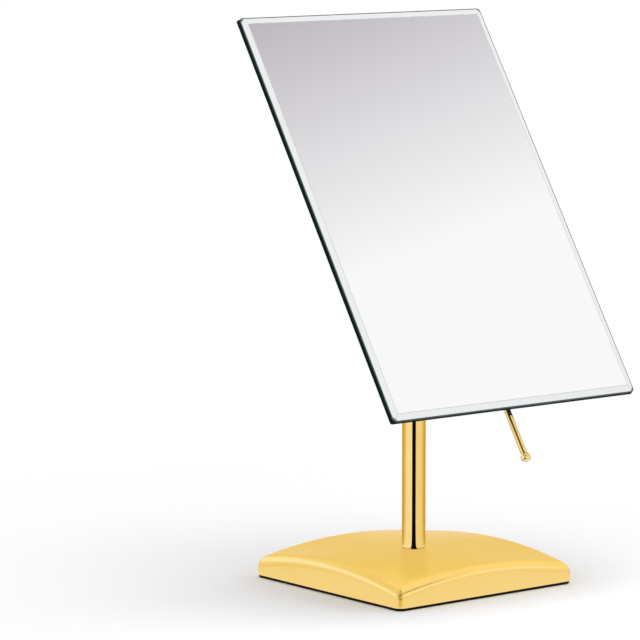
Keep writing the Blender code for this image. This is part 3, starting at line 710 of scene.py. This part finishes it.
panel_black = grained(
    "panel_black", (0.006, 0.009, 0.008), (0.013, 0.017, 0.016), 0.42, 0.58, 700, 0.25, shine=0.25
)
panel_rim = grained(
    "panel_rim", (0.003, 0.008, 0.007), (0.007, 0.014, 0.012), 0.5, 0.7, 700, 0.25, shine=0.006
)
pad_rubber = grained(
    "pad_rubber", (0.004, 0.002, 0.0015), (0.010, 0.006, 0.005), 0.72, 0.9, 1200, 0.3, shine=0.1
)
zinc = grained(
    "zinc_steel", (0.52, 0.53, 0.545), (0.66, 0.67, 0.675), 0.25, 0.42, 260, 0.08,
    metallic=1.0, stretch=(1, 1, 4),
)
nylon = grained("pale_nylon", (0.66, 0.64, 0.58), (0.74, 0.72, 0.66), 0.38, 0.52, 500, 0.1)
brass = grained("brass", (0.70, 0.47, 0.17), (0.79, 0.56, 0.23), 0.22, 0.36, 300, metallic=1.0)
foam = grained("foam_tape", (0.62, 0.61, 0.57), (0.82, 0.81, 0.77), 0.85, 0.95, 2600, 0.4)
cement = grained("cement", (0.30, 0.295, 0.28), (0.55, 0.54, 0.51), 0.85, 0.95, 420, 0.5, depth=0.0004)
plain_finishes = (panel_black, panel_rim, pad_rubber, zinc, nylon, brass, foam, cement)
print("plain finishes:", [finish.name for finish in plain_finishes])

# %% [markdown]
# Every piece ends the same way: its bmesh becomes a mesh with smooth shading that keeps its real edges
# sharp, the object takes its finish and its body, and the nodes that it stands for are hidden.

# %% Finishing a piece
WELD = 0.000002
SHARP_ANGLE = math.radians(20)


def keep(name, shape, finishes, body, nodes, sharp=SHARP_ANGLE):
    """Turns the bmesh into a finished piece on a body, in place of those nodes."""
    mesh = bpy.data.meshes.new(name)
    shape.to_mesh(mesh)
    shape.free()
    for finish in finishes:
        mesh.materials.append(finish)
    mesh.shade_smooth()
    mesh.set_sharp_from_angle(angle=sharp)
    piece = bpy.data.objects.new(name, mesh)
    scene.collection.objects.link(piece)
    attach(piece, body)
    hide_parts(*nodes)
    print(name, "faces:", len(mesh.polygons))
    return piece


# %% [markdown]
# ## The base
#
# The base is a square dome of pressed metal: its top is nearly flat in the middle and falls away to the
# corners, and a generous round leads into upright sides. A cube with bevels would give a flat top, and
# sculpting would not be exact. A grid is the simplest start: its lines are drawn closer together over the
# round, each point is lifted to the height that a short formula gives, and the rim is extruded down for the
# sides. A second, smaller grid is the inside, and a bridge along the bottom joins the two. Two rims in one
# plane give the bridge no direction, so the inner rim is bridged while it is higher, and only then dropped
# to the bottom.

# %% Shape of the dome
CROWN_HEIGHT = 0.0228
SIDE_HEIGHT = 0.0214
CORNER_HEIGHT = 0.0123
ROLL_RADIUS = 0.0064
PLAN_RADIUS = 0.0055
COVER_WALL = 0.0025
DOME_STEPS = 26
ROLL_STEPS = 14
base_low, base_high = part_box("base_shell")
base_half = base_high.x


def dome_height(x, y):
    """Height of the top before its edge is rounded."""
    across = (x / base_half) ** 2
    along = (y / base_half) ** 2
    corner_fall = 2 * SIDE_HEIGHT - CROWN_HEIGHT - CORNER_HEIGHT
    return CROWN_HEIGHT - (CROWN_HEIGHT - SIDE_HEIGHT) * (across + along) - corner_fall * across * along


def round_plan(x, y, half, radius):
    """Moves a point near a square corner onto the round one, and gives its distance in from the outline."""
    right = abs(x) - (half - radius)
    back = abs(y) - (half - radius)
    if right <= 0 or back <= 0:
        return x, y, half - max(abs(x), abs(y))
    round_right = right * math.sqrt(1 - (back / radius) ** 2 / 2)
    round_back = back * math.sqrt(1 - (right / radius) ** 2 / 2)
    x = math.copysign(half - radius + round_right, x)
    y = math.copysign(half - radius + round_back, y)
    return x, y, max(0.0, radius - math.hypot(round_right, round_back))


def grid_lines(half, roll):
    """Places of the grid's lines from one side to the other, closer over the round."""
    over_roll = [roll * (1 - math.cos(QUARTER * i / ROLL_STEPS)) for i in range(ROLL_STEPS)]
    over_top = [roll + (half - roll) * i / DOME_STEPS for i in range(DOME_STEPS + 1)]
    lines = [half - depth for depth in over_roll + over_top]
    return [-line for line in lines] + lines[-2::-1]


# %% Base cover
def add_skin(shape, inset, bottom):
    """Adds one skin of the cover to the bmesh, with its sides, and gives the edges along its bottom."""
    half = base_half - inset
    roll = ROLL_RADIUS - inset
    lines = grid_lines(half, roll)
    cells = len(lines) - 1
    grid = bmesh.ops.create_grid(shape, x_segments=cells, y_segments=cells, size=cells / 2)["verts"]
    for vert in grid:
        x = lines[round(vert.co.x + cells / 2)]
        y = lines[round(vert.co.y + cells / 2)]
        x, y, depth = round_plan(x, y, half, PLAN_RADIUS - inset)
        rise = max(roll - depth, 0)
        vert.co = (x, y, dome_height(x, y) - inset - roll + math.sqrt(roll**2 - rise**2))
    rim = [edge for edge in shape.edges if edge.is_boundary and edge.verts[0] in set(grid)]
    sides = bmesh.ops.extrude_edge_only(shape, edges=rim)["geom"]
    for vert in sides:
        if isinstance(vert, bmesh.types.BMVert):
            vert.co.z = bottom
    return [edge for edge in sides if isinstance(edge, bmesh.types.BMEdge) and edge.is_boundary]


cover = bmesh.new()
outer_rim = add_skin(cover, 0, base_low.z)
inner_rim = add_skin(cover, COVER_WALL, base_low.z + COVER_WALL)
bmesh.ops.bridge_loops(cover, edges=outer_rim + inner_rim)
for edge in inner_rim:
    for vert in edge.verts:
        vert.co.z = base_low.z
bmesh.ops.recalc_face_normals(cover, faces=cover.faces)
print("metal in the cover:", round(cover.calc_volume() * 1e6, 1), "cubic centimetres")

# %% [markdown]
# The post's bolt comes up through the middle of the cover. A Boolean with a plain rod drills its hole, as a
# drill does in metal. The same tools later join and drill the castings.

# %% Joining and cutting
CLEARANCE = 0.0003
OVERRUN = 0.002
UNMOVED = Matrix.Identity(4)


def combined(shape, tool, operation):
    """The first bmesh with the second cut away from it or joined to it. Both are used up."""
    bench = []
    for part in (shape, tool):
        mesh = bpy.data.meshes.new("bench")
        part.to_mesh(mesh)
        part.free()
        bench.append(bpy.data.objects.new("bench", mesh))
        scene.collection.objects.link(bench[-1])
    boolean = bench[0].modifiers.new("combine", "BOOLEAN")
    boolean.operation = operation
    boolean.object = bench[1]
    bpy.context.view_layer.update()
    result = bmesh.new()
    result.from_object(bench[0], bpy.context.evaluated_depsgraph_get())
    bmesh.ops.remove_doubles(result, verts=result.verts, dist=WELD)
    for part in bench:
        mesh = part.data
        bpy.data.objects.remove(part)
        bpy.data.meshes.remove(mesh)
    return result


def rod(radius, start, end, steps=48):
    """A plain rod along Z to drill with, or with six steps a hexagonal bar."""
    shape = bmesh.new()
    bmesh.ops.create_cone(
        shape, cap_ends=True, segments=steps, radius1=radius, radius2=radius, depth=end - start
    )
    bmesh.ops.translate(shape, verts=shape.verts, vec=(0, 0, (start + end) / 2))
    return shape


def moved(shape, matrix):
    bmesh.ops.transform(shape, matrix=matrix, verts=shape.verts)
    return shape


def drilled(shape, radius, start, end, place=UNMOVED):
    """The bmesh with a clear hole for a rod of that radius, along the Z axis of its place."""
    drill = moved(rod(radius + CLEARANCE, start, end), place)
    return combined(shape, drill, "DIFFERENCE")


# %% Bolt hole in the cover
POST_BOLT_RADIUS = 0.004
cover = drilled(cover, POST_BOLT_RADIUS, 0, CROWN_HEIGHT + OVERRUN)
keep("base_cover", cover, [base_gold], "stand", ["base_shell"])

# %% [markdown]
# Under the cover lies a thin black pad, which keeps the base from sliding and from scratching the counter.
# It is a block with its four upright edges rounded to follow the cover, and a small bevel along its rims.

# %% Tools for blocks
STRAIGHT = 0.99
BLOCK_CORNER_STEPS = 8
RIM_STEPS = 2


def block(low, high):
    """A box between two corners."""
    shape = bmesh.new()
    bmesh.ops.create_cube(shape, size=1.0)
    bmesh.ops.scale(shape, verts=shape.verts, vec=high - low)
    bmesh.ops.translate(shape, verts=shape.verts, vec=(low + high) / 2)
    return shape


def round_over(shape, edges, radius, steps, finish=-1):
    bmesh.ops.bevel(
        shape, geom=edges, offset=radius, offset_type="OFFSET", segments=steps, profile=0.5,
        affect="EDGES", material=finish,
    )


def upright(shape):
    """The edges that run along Z."""
    return [e for e in shape.edges if abs((e.verts[0].co - e.verts[1].co).normalized().z) > STRAIGHT]


def hard_edges(shape):
    return [e for e in shape.edges if e.calc_face_angle(0) > SHARP_ANGLE]


def plate(low, high, corner, rim):
    """A block with round corners and softened rims."""
    shape = block(low, high)
    round_over(shape, upright(shape), corner, BLOCK_CORNER_STEPS)
    round_over(shape, hard_edges(shape), rim, RIM_STEPS)
    return shape


# %% Base pad
PAD_RIM = 0.0003
pad_low, pad_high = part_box("base_pad")
pad_corner = PLAN_RADIUS - (base_half - pad_high.x)
pad = plate(pad_low, pad_high, pad_corner, PAD_RIM)
keep("base_pad_sheet", pad, [pad_rubber], "stand", ["base_pad"])

# %% [markdown]
# ## The post
#
# The post is a polished tube. A cylinder primitive would be a plain stand-in with knife edges, so the
# wall's section is drawn once, with its edges broken, and spun round the axis. The same tool then turns
# every round piece of the mirror.

# %% Turning
TURN_STEPS = 96


def turned(profile, steps=TURN_STEPS, closed=False):
    """A shape spun round Z from (radius, height) points. A closed profile makes a ring."""
    shape = bmesh.new()
    verts = [shape.verts.new((radius, 0, height)) for radius, height in profile]
    pairs = list(zip(verts, verts[1:]))
    if closed:
        pairs.append((verts[-1], verts[0]))
    edges = [shape.edges.new(pair) for pair in pairs]
    bmesh.ops.spin(
        shape, geom=verts + edges, cent=(0, 0, 0), axis=(0, 0, 1), angle=ROUND, steps=steps, use_merge=True
    )
    bmesh.ops.remove_doubles(shape, verts=shape.verts, dist=WELD)
    bmesh.ops.recalc_face_normals(shape, faces=shape.faces)
    return shape


def soft_ring(inner, outer, bottom, top, edge, steps=TURN_STEPS):
    """A ring with all four of its edges broken."""
    profile = [
        (inner, bottom + edge),
        (inner + edge, bottom),
        (outer - edge, bottom),
        (outer, bottom + edge),
        (outer, top - edge),
        (outer - edge, top),
        (inner + edge, top),
        (inner, top - edge),
    ]
    return turned(profile, steps, closed=True)


# %% Post
POST_WALL = 0.0012
POST_EDGE = 0.00025
post = soft_ring(post_radius - POST_WALL, post_radius, post_low.z, post_high.z, POST_EDGE)
keep("post_column", post, [gold], "stand", ["post_tube"])

# %% [markdown]
# ## The swivel head
#
# On the post turns the head: a collar as wide as the post, a spindle below it that goes down into the post,
# and a flat tongue above it that carries the tilt bolt. The collar and spindle are one turned shape. The
# tongue is half a disc on a block, extruded, and a Boolean joins the two as if they were cast in one.

# %% Tools for castings
LUG_STEPS = 32
along_x = Matrix.Rotation(QUARTER, 4, "Y")
along_y = Matrix.Rotation(-QUARTER, 4, "X")


def lug(radius, thickness, reach, root, edge):
    """A flat lug in X and Y, with a round end at the origin, its root at Y = reach, and thick along Z."""
    shape = bmesh.new()
    start = shape.verts.new((radius, 0, 0))
    bmesh.ops.spin(shape, geom=[start], cent=(0, 0, 0), axis=(0, 0, -1), angle=math.pi, steps=LUG_STEPS)
    arc = sorted(shape.verts, key=lambda vert: vert.co.x)
    left = shape.verts.new((-root, reach, 0))
    right = shape.verts.new((root, reach, 0))
    for pair in ((arc[-1], right), (right, left), (left, arc[0])):
        shape.edges.new(pair)
    face = bmesh.ops.edgeloop_fill(shape, edges=shape.edges)["faces"]
    raised = bmesh.ops.extrude_face_region(shape, geom=face)["geom"]
    lifted = [vert for vert in raised if isinstance(vert, bmesh.types.BMVert)]
    bmesh.ops.translate(shape, verts=lifted, vec=(0, 0, thickness))
    bmesh.ops.translate(shape, verts=shape.verts, vec=(0, 0, -thickness / 2))
    bmesh.ops.recalc_face_normals(shape, faces=shape.faces)
    flat = [face for face in shape.faces if abs(face.normal.z) > STRAIGHT]
    rims = {edge for face in flat for edge in face.edges}
    round_over(shape, list(rims), edge, RIM_STEPS)
    return shape


# %% Swivel head
COLLAR_HEIGHT = 0.010
COLLAR_EDGE = 0.0008
COLLAR_ROUND = 0.00024
SPINDLE_RADIUS = 0.004
RETAINING_SCREW_RADIUS = 0.002
TONGUE_THICKNESS = 0.008
TONGUE_RADIUS = 0.0075
CAST_EDGE = 0.0004
head_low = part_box("swivel_head")[0]
washer_low, washer_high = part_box("swivel_washer")
collar_bottom = washer_high.z + CLEARANCE
collar_top = collar_bottom + COLLAR_HEIGHT
collar_profile = [
    (0, collar_top),
    (post_radius - COLLAR_EDGE, collar_top),
    (post_radius - COLLAR_ROUND, collar_top - COLLAR_ROUND),
    (post_radius, collar_top - COLLAR_EDGE),
    (post_radius, collar_bottom + POST_EDGE),
    (post_radius - POST_EDGE, collar_bottom),
    (SPINDLE_RADIUS, collar_bottom),
    (SPINDLE_RADIUS, head_low.z),
    (0, head_low.z),
]
head = turned(collar_profile)
tongue_reach = pivot.z - collar_top + COLLAR_HEIGHT / 2
tongue = lug(TONGUE_RADIUS, TONGUE_THICKNESS, tongue_reach, TONGUE_RADIUS, CAST_EDGE)
tongue_turn = Matrix.Rotation(QUARTER, 4, "Z") @ Matrix.Rotation(-QUARTER, 4, "X")
head = combined(head, moved(tongue, Matrix.Translation(pivot) @ tongue_turn), "UNION")
bush_low, bush_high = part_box("hinge_bush")
bush_radius = (bush_high - bush_low).z / 2
bore_place = Matrix.Translation(pivot) @ along_x
head = drilled(head, bush_radius, -TONGUE_THICKNESS, TONGUE_THICKNESS, bore_place)
screw_hole_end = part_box("swivel_retaining_screw")[1].z + CLEARANCE
head = drilled(head, RETAINING_SCREW_RADIUS, head_low.z - OVERRUN, screw_hole_end)
keep("head_casting", head, [gold], "head", ["swivel_head"])

# %% [markdown]
# Thin nylon washers part the moving faces: one lies between post and collar, and one on each side of the
# tongue. They show as pale lines from behind. All are rings with broken edges.

# %% Washers
WASHER_EDGE = 0.00012
WASHER_GAP = 0.0002
BOLT_RADIUS = 0.0025
SMALL_TURN_STEPS = 64
swivel_ring = soft_ring(SPINDLE_RADIUS + WASHER_GAP, washer_high.x, washer_low.z, washer_high.z, WASHER_EDGE)
keep("swivel_ring", swivel_ring, [nylon], "head", ["swivel_washer"])
washer_place = Matrix.Translation((0, 0, pivot.z)) @ along_x
for side in ("left", "right"):
    low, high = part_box(f"friction_washer_{side}")
    friction = soft_ring(BOLT_RADIUS + WASHER_GAP, high.y, low.x, high.x, WASHER_EDGE, SMALL_TURN_STEPS)
    friction = moved(friction, washer_place)
    keep(f"friction_ring_{side}", friction, [nylon], "head", [f"friction_washer_{side}"])

# %% [markdown]
# ## The hinge bracket
#
# The bracket is one casting behind the glass: a flange that is screwed to the panel, two ears that hold the
# tilt bolt, and a boss below for the lever. Each part is made on its own with softened edges, in the
# plate's directions, then joined, drilled, and carried into place by the plate's matrix.

# %% Hinge bracket
FLANGE_CORNER = 0.005
FLANGE_THICKNESS = 0.003
EAR_RADIUS = 0.009
EAR_THICKNESS = 0.003
EAR_ROOT = 0.015
BOSS_RADIUS = 0.005
BOSS_OVERLAP = 0.003
SCREW_INSET = 0.007
SCREW_RADIUS = 0.0015
LEVER_RADIUS = 0.00225
bracket_low, bracket_high = plate_box("hinge_bracket")
lever_low, lever_high = plate_box("tilt_lever")
lever_axis = (lever_low.z + lever_high.z) / 2
flange_back = bracket_high.z - FLANGE_THICKNESS
flange_half = bracket_high.y
flange_low = Vector((bracket_low.x, -flange_half, flange_back))
bracket = plate(flange_low, bracket_high, FLANGE_CORNER, CAST_EDGE)
ear_reach = flange_back + FLANGE_THICKNESS / 2
ear_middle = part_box("friction_washer_right")[1].x + CLEARANCE + EAR_THICKNESS / 2
lug_to_ear = Matrix(((0, 0, 1, 0), (1, 0, 0, 0), (0, 1, 0, 0), (0, 0, 0, 1)))
for side in (-1, 1):
    ear = lug(EAR_RADIUS, EAR_THICKNESS, ear_reach, EAR_ROOT, CAST_EDGE)
    ear_place = Matrix.Translation((side * ear_middle, 0, 0)) @ lug_to_ear
    bracket = combined(bracket, moved(ear, ear_place), "UNION")
boss_length = -flange_half + BOSS_OVERLAP - bracket_low.y
boss = lug(BOSS_RADIUS, boss_length, ear_reach - lever_axis, BOSS_RADIUS, CAST_EDGE)
lug_to_boss = Matrix(((-1, 0, 0, 0), (0, 0, 1, 0), (0, 1, 0, 0), (0, 0, 0, 1)))
boss_place = Matrix.Translation((0, bracket_low.y + boss_length / 2, lever_axis)) @ lug_to_boss
bracket = combined(bracket, moved(boss, boss_place), "UNION")
print("bracket so far:", len(bracket.faces), "faces")

# %% Holes in the bracket
screw_across = bracket_high.x - SCREW_INSET
screw_up = flange_half - SCREW_INSET
screw_places = [(x, y) for y in (screw_up, -screw_up) for x in (-screw_across, screw_across)]
ear_end = ear_middle + EAR_THICKNESS
bracket = drilled(bracket, BOLT_RADIUS, -ear_end, ear_end, along_x)
for x, y in screw_places:
    bracket = drilled(bracket, SCREW_RADIUS, 0, bracket_high.z + OVERRUN, Matrix.Translation((x, y, 0)))
lever_depth = lever_high.y - bracket_low.y + CLEARANCE
lever_place = Matrix.Translation((0, bracket_low.y, lever_axis)) @ along_y
bracket = drilled(bracket, LEVER_RADIUS, -OVERRUN, lever_depth, lever_place)
bracket = moved(bracket, plate_place)
keep("bracket_casting", bracket, [base_gold], "mirror", ["hinge_bracket"])

# %% [markdown]
# Four pan-head screws hold the flange. Their heads are turned from an arc, and a tapered cross is cut into
# each, as a driver needs. The hinge bolt has a button head with a hexagon socket, made the same way.

# %% Screws
SCREW_HEAD_RADIUS = 0.0028
SCREW_HEAD_HEIGHT = 0.0020
SCREW_HEAD_EDGE = 0.0006
SCREW_STEPS = 48
RECESS_WIDTH = 0.00075
RECESS_LENGTH = 0.0031
RECESS_DEPTH = 0.0012
RECESS_TAPER = 0.55


def rounded_head(radius, seat, height, edge, steps=10):
    """Profile of a screw head from the middle of its top to its seat. Height may point either way."""
    lift = math.copysign(1, height)
    crown = abs(height) - edge
    swing = 2 * math.atan(crown / radius)
    sphere = radius / math.sin(swing)
    points = []
    for i in range(steps + 1):
        angle = swing * i / steps
        drop = sphere * (1 - math.cos(angle))
        points.append((sphere * math.sin(angle), seat + height - lift * drop))
    return points + [(radius, seat)]


def cross_recess(top):
    """A tapered cross that goes down from a head's top at Z = top to its point at the recess's depth."""
    cross = None
    for across in (RECESS_WIDTH, RECESS_LENGTH):
        along = RECESS_WIDTH + RECESS_LENGTH - across
        low = Vector((-across / 2, -along / 2, top - OVERRUN))
        high = Vector((across / 2, along / 2, top + RECESS_DEPTH))
        bar = block(low, high)
        deep = [vert for vert in bar.verts if vert.co.z > top]
        bmesh.ops.scale(bar, verts=deep, vec=(RECESS_TAPER, RECESS_TAPER, 1))
        cross = bar if cross is None else combined(cross, bar, "UNION")
    return cross


screw_low, screw_high = plate_box("bracket_screw_1")
screw_seat = screw_low.z + SCREW_HEAD_HEIGHT
screw_profile = rounded_head(SCREW_HEAD_RADIUS, screw_seat, -SCREW_HEAD_HEIGHT, SCREW_HEAD_EDGE)
screw_profile += [(SCREW_RADIUS, screw_seat), (SCREW_RADIUS, screw_high.z), (0, screw_high.z)]
for number, (x, y) in enumerate(screw_places, start=1):
    screw = combined(turned(screw_profile, SCREW_STEPS), cross_recess(screw_low.z), "DIFFERENCE")
    screw = moved(screw, plate_place @ Matrix.Translation((x, y, 0)))
    keep(f"flange_screw_{number}", screw, [zinc], "mirror", [f"bracket_screw_{number}"])

# %% Hinge bolt
BOLT_HEAD_RADIUS = 0.00475
BOLT_HEAD_HEIGHT = 0.0028
BOLT_HEAD_EDGE = 0.0009
BOLT_TIP = 0.0004
SOCKET_FLATS = 0.003
SOCKET_DEPTH = 0.0016
HALF_SIXTH = math.radians(30)


def hexagon(flats, start, end):
    return rod(flats / 2 / math.cos(HALF_SIXTH), start, end, steps=6)


bolt_low, bolt_high = plate_box("hinge_bolt")
bolt_seat = bolt_high.x - BOLT_HEAD_HEIGHT
bolt_profile = rounded_head(BOLT_HEAD_RADIUS, bolt_seat, BOLT_HEAD_HEIGHT, BOLT_HEAD_EDGE)
bolt_profile += [
    (BOLT_RADIUS, bolt_seat),
    (BOLT_RADIUS, bolt_low.x + BOLT_TIP),
    (BOLT_RADIUS - BOLT_TIP, bolt_low.x),
    (0, bolt_low.x),
]
socket = hexagon(SOCKET_FLATS, bolt_high.x - SOCKET_DEPTH, bolt_high.x + OVERRUN)
bolt = combined(turned(bolt_profile, SMALL_TURN_STEPS), socket, "DIFFERENCE")
hinge_place = plate_place @ along_x
keep("tilt_bolt", moved(bolt, hinge_place), [gold], "mirror", ["hinge_bolt"])

# %% [markdown]
# On the other end of the bolt, a dished spring washer and a nut set how stiffly the glass tilts. A nut is a
# hexagon whose corners are turned off at both faces, so it is what a hexagonal bar and a turned, chamfered
# disc have in common.

# %% Spring washer and nut
NUT_CHAMFER = math.radians(30)
NUT_FACE = 0.94
NUT_STEPS = 72


def nut_shape(flats, thread, start, end):
    """A hexagon nut along Z with chamfered corners and a bore for its thread's radius."""
    corner = flats / 2 / math.cos(HALF_SIXTH)
    face = NUT_FACE * flats / 2
    slope = (corner - face) * math.tan(NUT_CHAMFER)
    profile = [
        (0, end),
        (face, end),
        (corner, end - slope),
        (corner, start + slope),
        (face, start),
        (0, start),
    ]
    nut = combined(hexagon(flats, start, end), turned(profile, NUT_STEPS), "INTERSECT")
    return drilled(nut, thread, start - OVERRUN, end + OVERRUN)


HINGE_NUT_FLATS = 0.008
SPRING_SHEET = 0.0005
spring_low, spring_high = plate_box("hinge_disc_spring")
spring_profile = [
    (BOLT_RADIUS + CLEARANCE, spring_low.x),
    (spring_high.z, spring_high.x - SPRING_SHEET),
    (spring_high.z, spring_high.x),
    (BOLT_RADIUS + CLEARANCE, spring_low.x + SPRING_SHEET),
]
spring = moved(turned(spring_profile, SMALL_TURN_STEPS, closed=True), hinge_place)
keep("dished_spring", spring, [zinc], "mirror", ["hinge_disc_spring"])
nut_low, nut_high = plate_box("hinge_nut")
hinge_nut = nut_shape(HINGE_NUT_FLATS, BOLT_RADIUS, nut_low.x, nut_high.x)
keep("tilt_nut", moved(hinge_nut, hinge_place), [gold], "mirror", ["hinge_nut"])

# %% [markdown]
# ## The mirror plate
#
# A thin black panel backs the glass and takes the bracket's screws. It is as large as the glass, with
# softened rims, shallow pockets for the strips of tape that hold the glass, and four screw holes.

# %% Back panel
PANEL_CORNER = 0.0015
PANEL_RIM = 0.00025
RIM_FACING = 0.5
panel_low, panel_high = plate_box("back_panel")
panel = plate(panel_low, panel_high, PANEL_CORNER, PANEL_RIM)
pocket_gap = Vector((CLEARANCE, CLEARANCE, CLEARANCE))
tapes = [f"mounting_tape_{side}" for side in ("left", "right", "top", "bottom")]
for tape in tapes:
    low, high = plate_box(tape)
    panel = combined(panel, block(low - pocket_gap, high + pocket_gap), "DIFFERENCE")
for x, y in screw_places:
    panel = drilled(panel, SCREW_RADIUS, 0, panel_high.z + OVERRUN, Matrix.Translation((x, y, 0)))
for face in panel.faces:
    face.material_index = int(abs(face.normal.z) < RIM_FACING)
panel_finishes = [panel_black, panel_rim]
keep("backing_panel", moved(panel, plate_place), panel_finishes, "mirror", ["back_panel"])

# %% [markdown]
# The glass is ground to a wide, shallow bevel that meets in mitres at the corners, and its outer corners
# are rounded a little. An inset of the front face makes the bevel, and a tiny bevel of its inner edges and
# mitres makes the hair lines that grinding leaves. A rounded plate then trims the corners, so that the
# mitres stay sharp, and the rim gets its seam after that, because it follows the round corners. Last, a cut
# across each corner marks the small dark patch where the sharp point was ground off. Each kind of face has
# its own finish by its material index.

# %% Mirror glass
BEVEL_WIDTH = 0.005
BEVEL_DEPTH = 0.0012
GLASS_CORNER = 0.003
CORNER_STEPS = 16
HAIR_WIDTH = 0.0002
SEAM_WIDTH = 0.0008
CORNER_GROUND = 0.0017
GLASS_SHARP = math.radians(3)

glass = block(glass_low, Vector((glass_high.x, glass_high.y, glass_high.z - BEVEL_DEPTH)))
for face in glass.faces:
    face.material_index = EDGE
front = max(glass.faces, key=lambda face: face.calc_center_median().z)
slopes = bmesh.ops.inset_region(
    glass, faces=[front], thickness=BEVEL_WIDTH, depth=BEVEL_DEPTH, use_even_offset=True
)["faces"]
front.material_index = FACE
for face in slopes:
    face.material_index = BEVEL


def meets_face(edge):
    """Whether an edge of the bevel touches the flat front."""
    return max(vert.co.z for vert in edge.verts) > glass_high.z - WELD


ground = {edge for face in slopes for edge in face.edges if meets_face(edge)}
round_over(glass, list(ground), HAIR_WIDTH, 1, HAIR)
trim = block(glass_low - Vector((0, 0, OVERRUN)), glass_high + Vector((0, 0, OVERRUN)))
round_over(trim, upright(trim), GLASS_CORNER, CORNER_STEPS)
for face in trim.faces:
    face.material_index = EDGE
glass = combined(glass, trim, "INTERSECT")
silvered = [face for face in glass.faces if face.material_index != EDGE]
seam = bmesh.ops.inset_region(
    glass, faces=silvered, thickness=SEAM_WIDTH, use_boundary=True, use_even_offset=True
)["faces"]
for face in seam:
    face.material_index = SEAM
for across in (-1, 1):
    for up in (-1, 1):
        away = Vector((across, up, 0)).normalized()
        round_middle = Vector((across * (glass_high.x - GLASS_CORNER), 0, 0))
        round_middle.y = (glass_high.y if up > 0 else glass_low.y) - up * GLASS_CORNER
        ground_line = round_middle + (GLASS_CORNER - CORNER_GROUND) * away
        front_faces = [face for face in glass.faces if face.material_index != EDGE]
        parts = {part for face in front_faces for part in (face, *face.edges, *face.verts)}
        bmesh.ops.bisect_plane(glass, geom=list(parts), plane_co=ground_line, plane_no=away)
        for face in glass.faces:
            if face.material_index != EDGE and (face.calc_center_median() - ground_line).dot(away) > 0:
                face.material_index = SEAM
glass = moved(glass, plate_place)
keep("bevelled_mirror", glass, mirror_finishes, "mirror", ["mirror_glass"], GLASS_SHARP)

# %% [markdown]
# ## The tilt lever
#
# Below the glass hangs a thin rod with a ball on its end. A finger on the ball tilts the mirror and leaves
# no print on the glass. The rod and the ball are turned, and a small nut locks the rod in the bracket's
# boss.

# %% Lever, ball and lock nut
ROD_EDGE = 0.0003
BALL_RADIUS = 0.00336
BALL_LIP = 0.00015
BALL_STEPS = 40
LOCK_NUT_FLATS = 0.008
lever_profile = [
    (0, lever_high.y),
    (LEVER_RADIUS - ROD_EDGE, lever_high.y),
    (LEVER_RADIUS, lever_high.y - ROD_EDGE),
    (LEVER_RADIUS, lever_low.y + ROD_EDGE),
    (LEVER_RADIUS - ROD_EDGE, lever_low.y),
    (0, lever_low.y),
]
up_plate = plate_place @ Matrix.Translation((0, 0, lever_axis)) @ along_y
lever = moved(turned(lever_profile, SMALL_TURN_STEPS), up_plate)
keep("lever_rod", lever, [pale_gold], "mirror", ["tilt_lever"])

ball_middle = ball_low.y + BALL_RADIUS
hole = LEVER_RADIUS + CLEARANCE
mouth = math.acos(hole / BALL_RADIUS)
ball_profile = [(0, lever_low.y - CLEARANCE), (hole - BALL_LIP, lever_low.y - CLEARANCE)]
for i in range(BALL_STEPS + 1):
    angle = mouth - (mouth + QUARTER) * i / BALL_STEPS
    ball_profile.append((BALL_RADIUS * math.cos(angle), ball_middle + BALL_RADIUS * math.sin(angle)))
ball_profile[-1] = (0, ball_middle - BALL_RADIUS)
ball = moved(turned(ball_profile), up_plate)
keep("lever_knob", ball, [pale_gold], "mirror", ["lever_ball"])

lock_low, lock_high = plate_box("lever_lock_nut")
lock_nut = moved(nut_shape(LOCK_NUT_FLATS, LEVER_RADIUS, lock_low.y, lock_high.y), up_plate)
keep("lock_nut", lock_nut, [gold], "mirror", ["lever_lock_nut"])

# %% [markdown]
# ## What stays hidden
#
# The pieces inside the base, the post and the hinge, and the tape behind the glass, keep their mechanical
# shapes. They still get their real finishes, because someone may take the mirror apart.

# %% Finishes of the inner pieces
INNER_FINISHES = [
    (cement, ["base_ballast"]),
    (zinc, ["post_bolt", "post_bolt_washer", "post_bolt_lock_washer", "post_lower_insert"]),
    (zinc, ["swivel_retaining_washer", "swivel_retaining_screw"]),
    (nylon, ["post_upper_bush"]),
    (brass, ["hinge_bush"]),
    (foam, tapes),
]
for finish, nodes in INNER_FINISHES:
    for node in nodes:
        frame["nodes"][node].material_slots[0].material = finish
print("inner pieces:", sum(len(nodes) for finish, nodes in INNER_FINISHES))
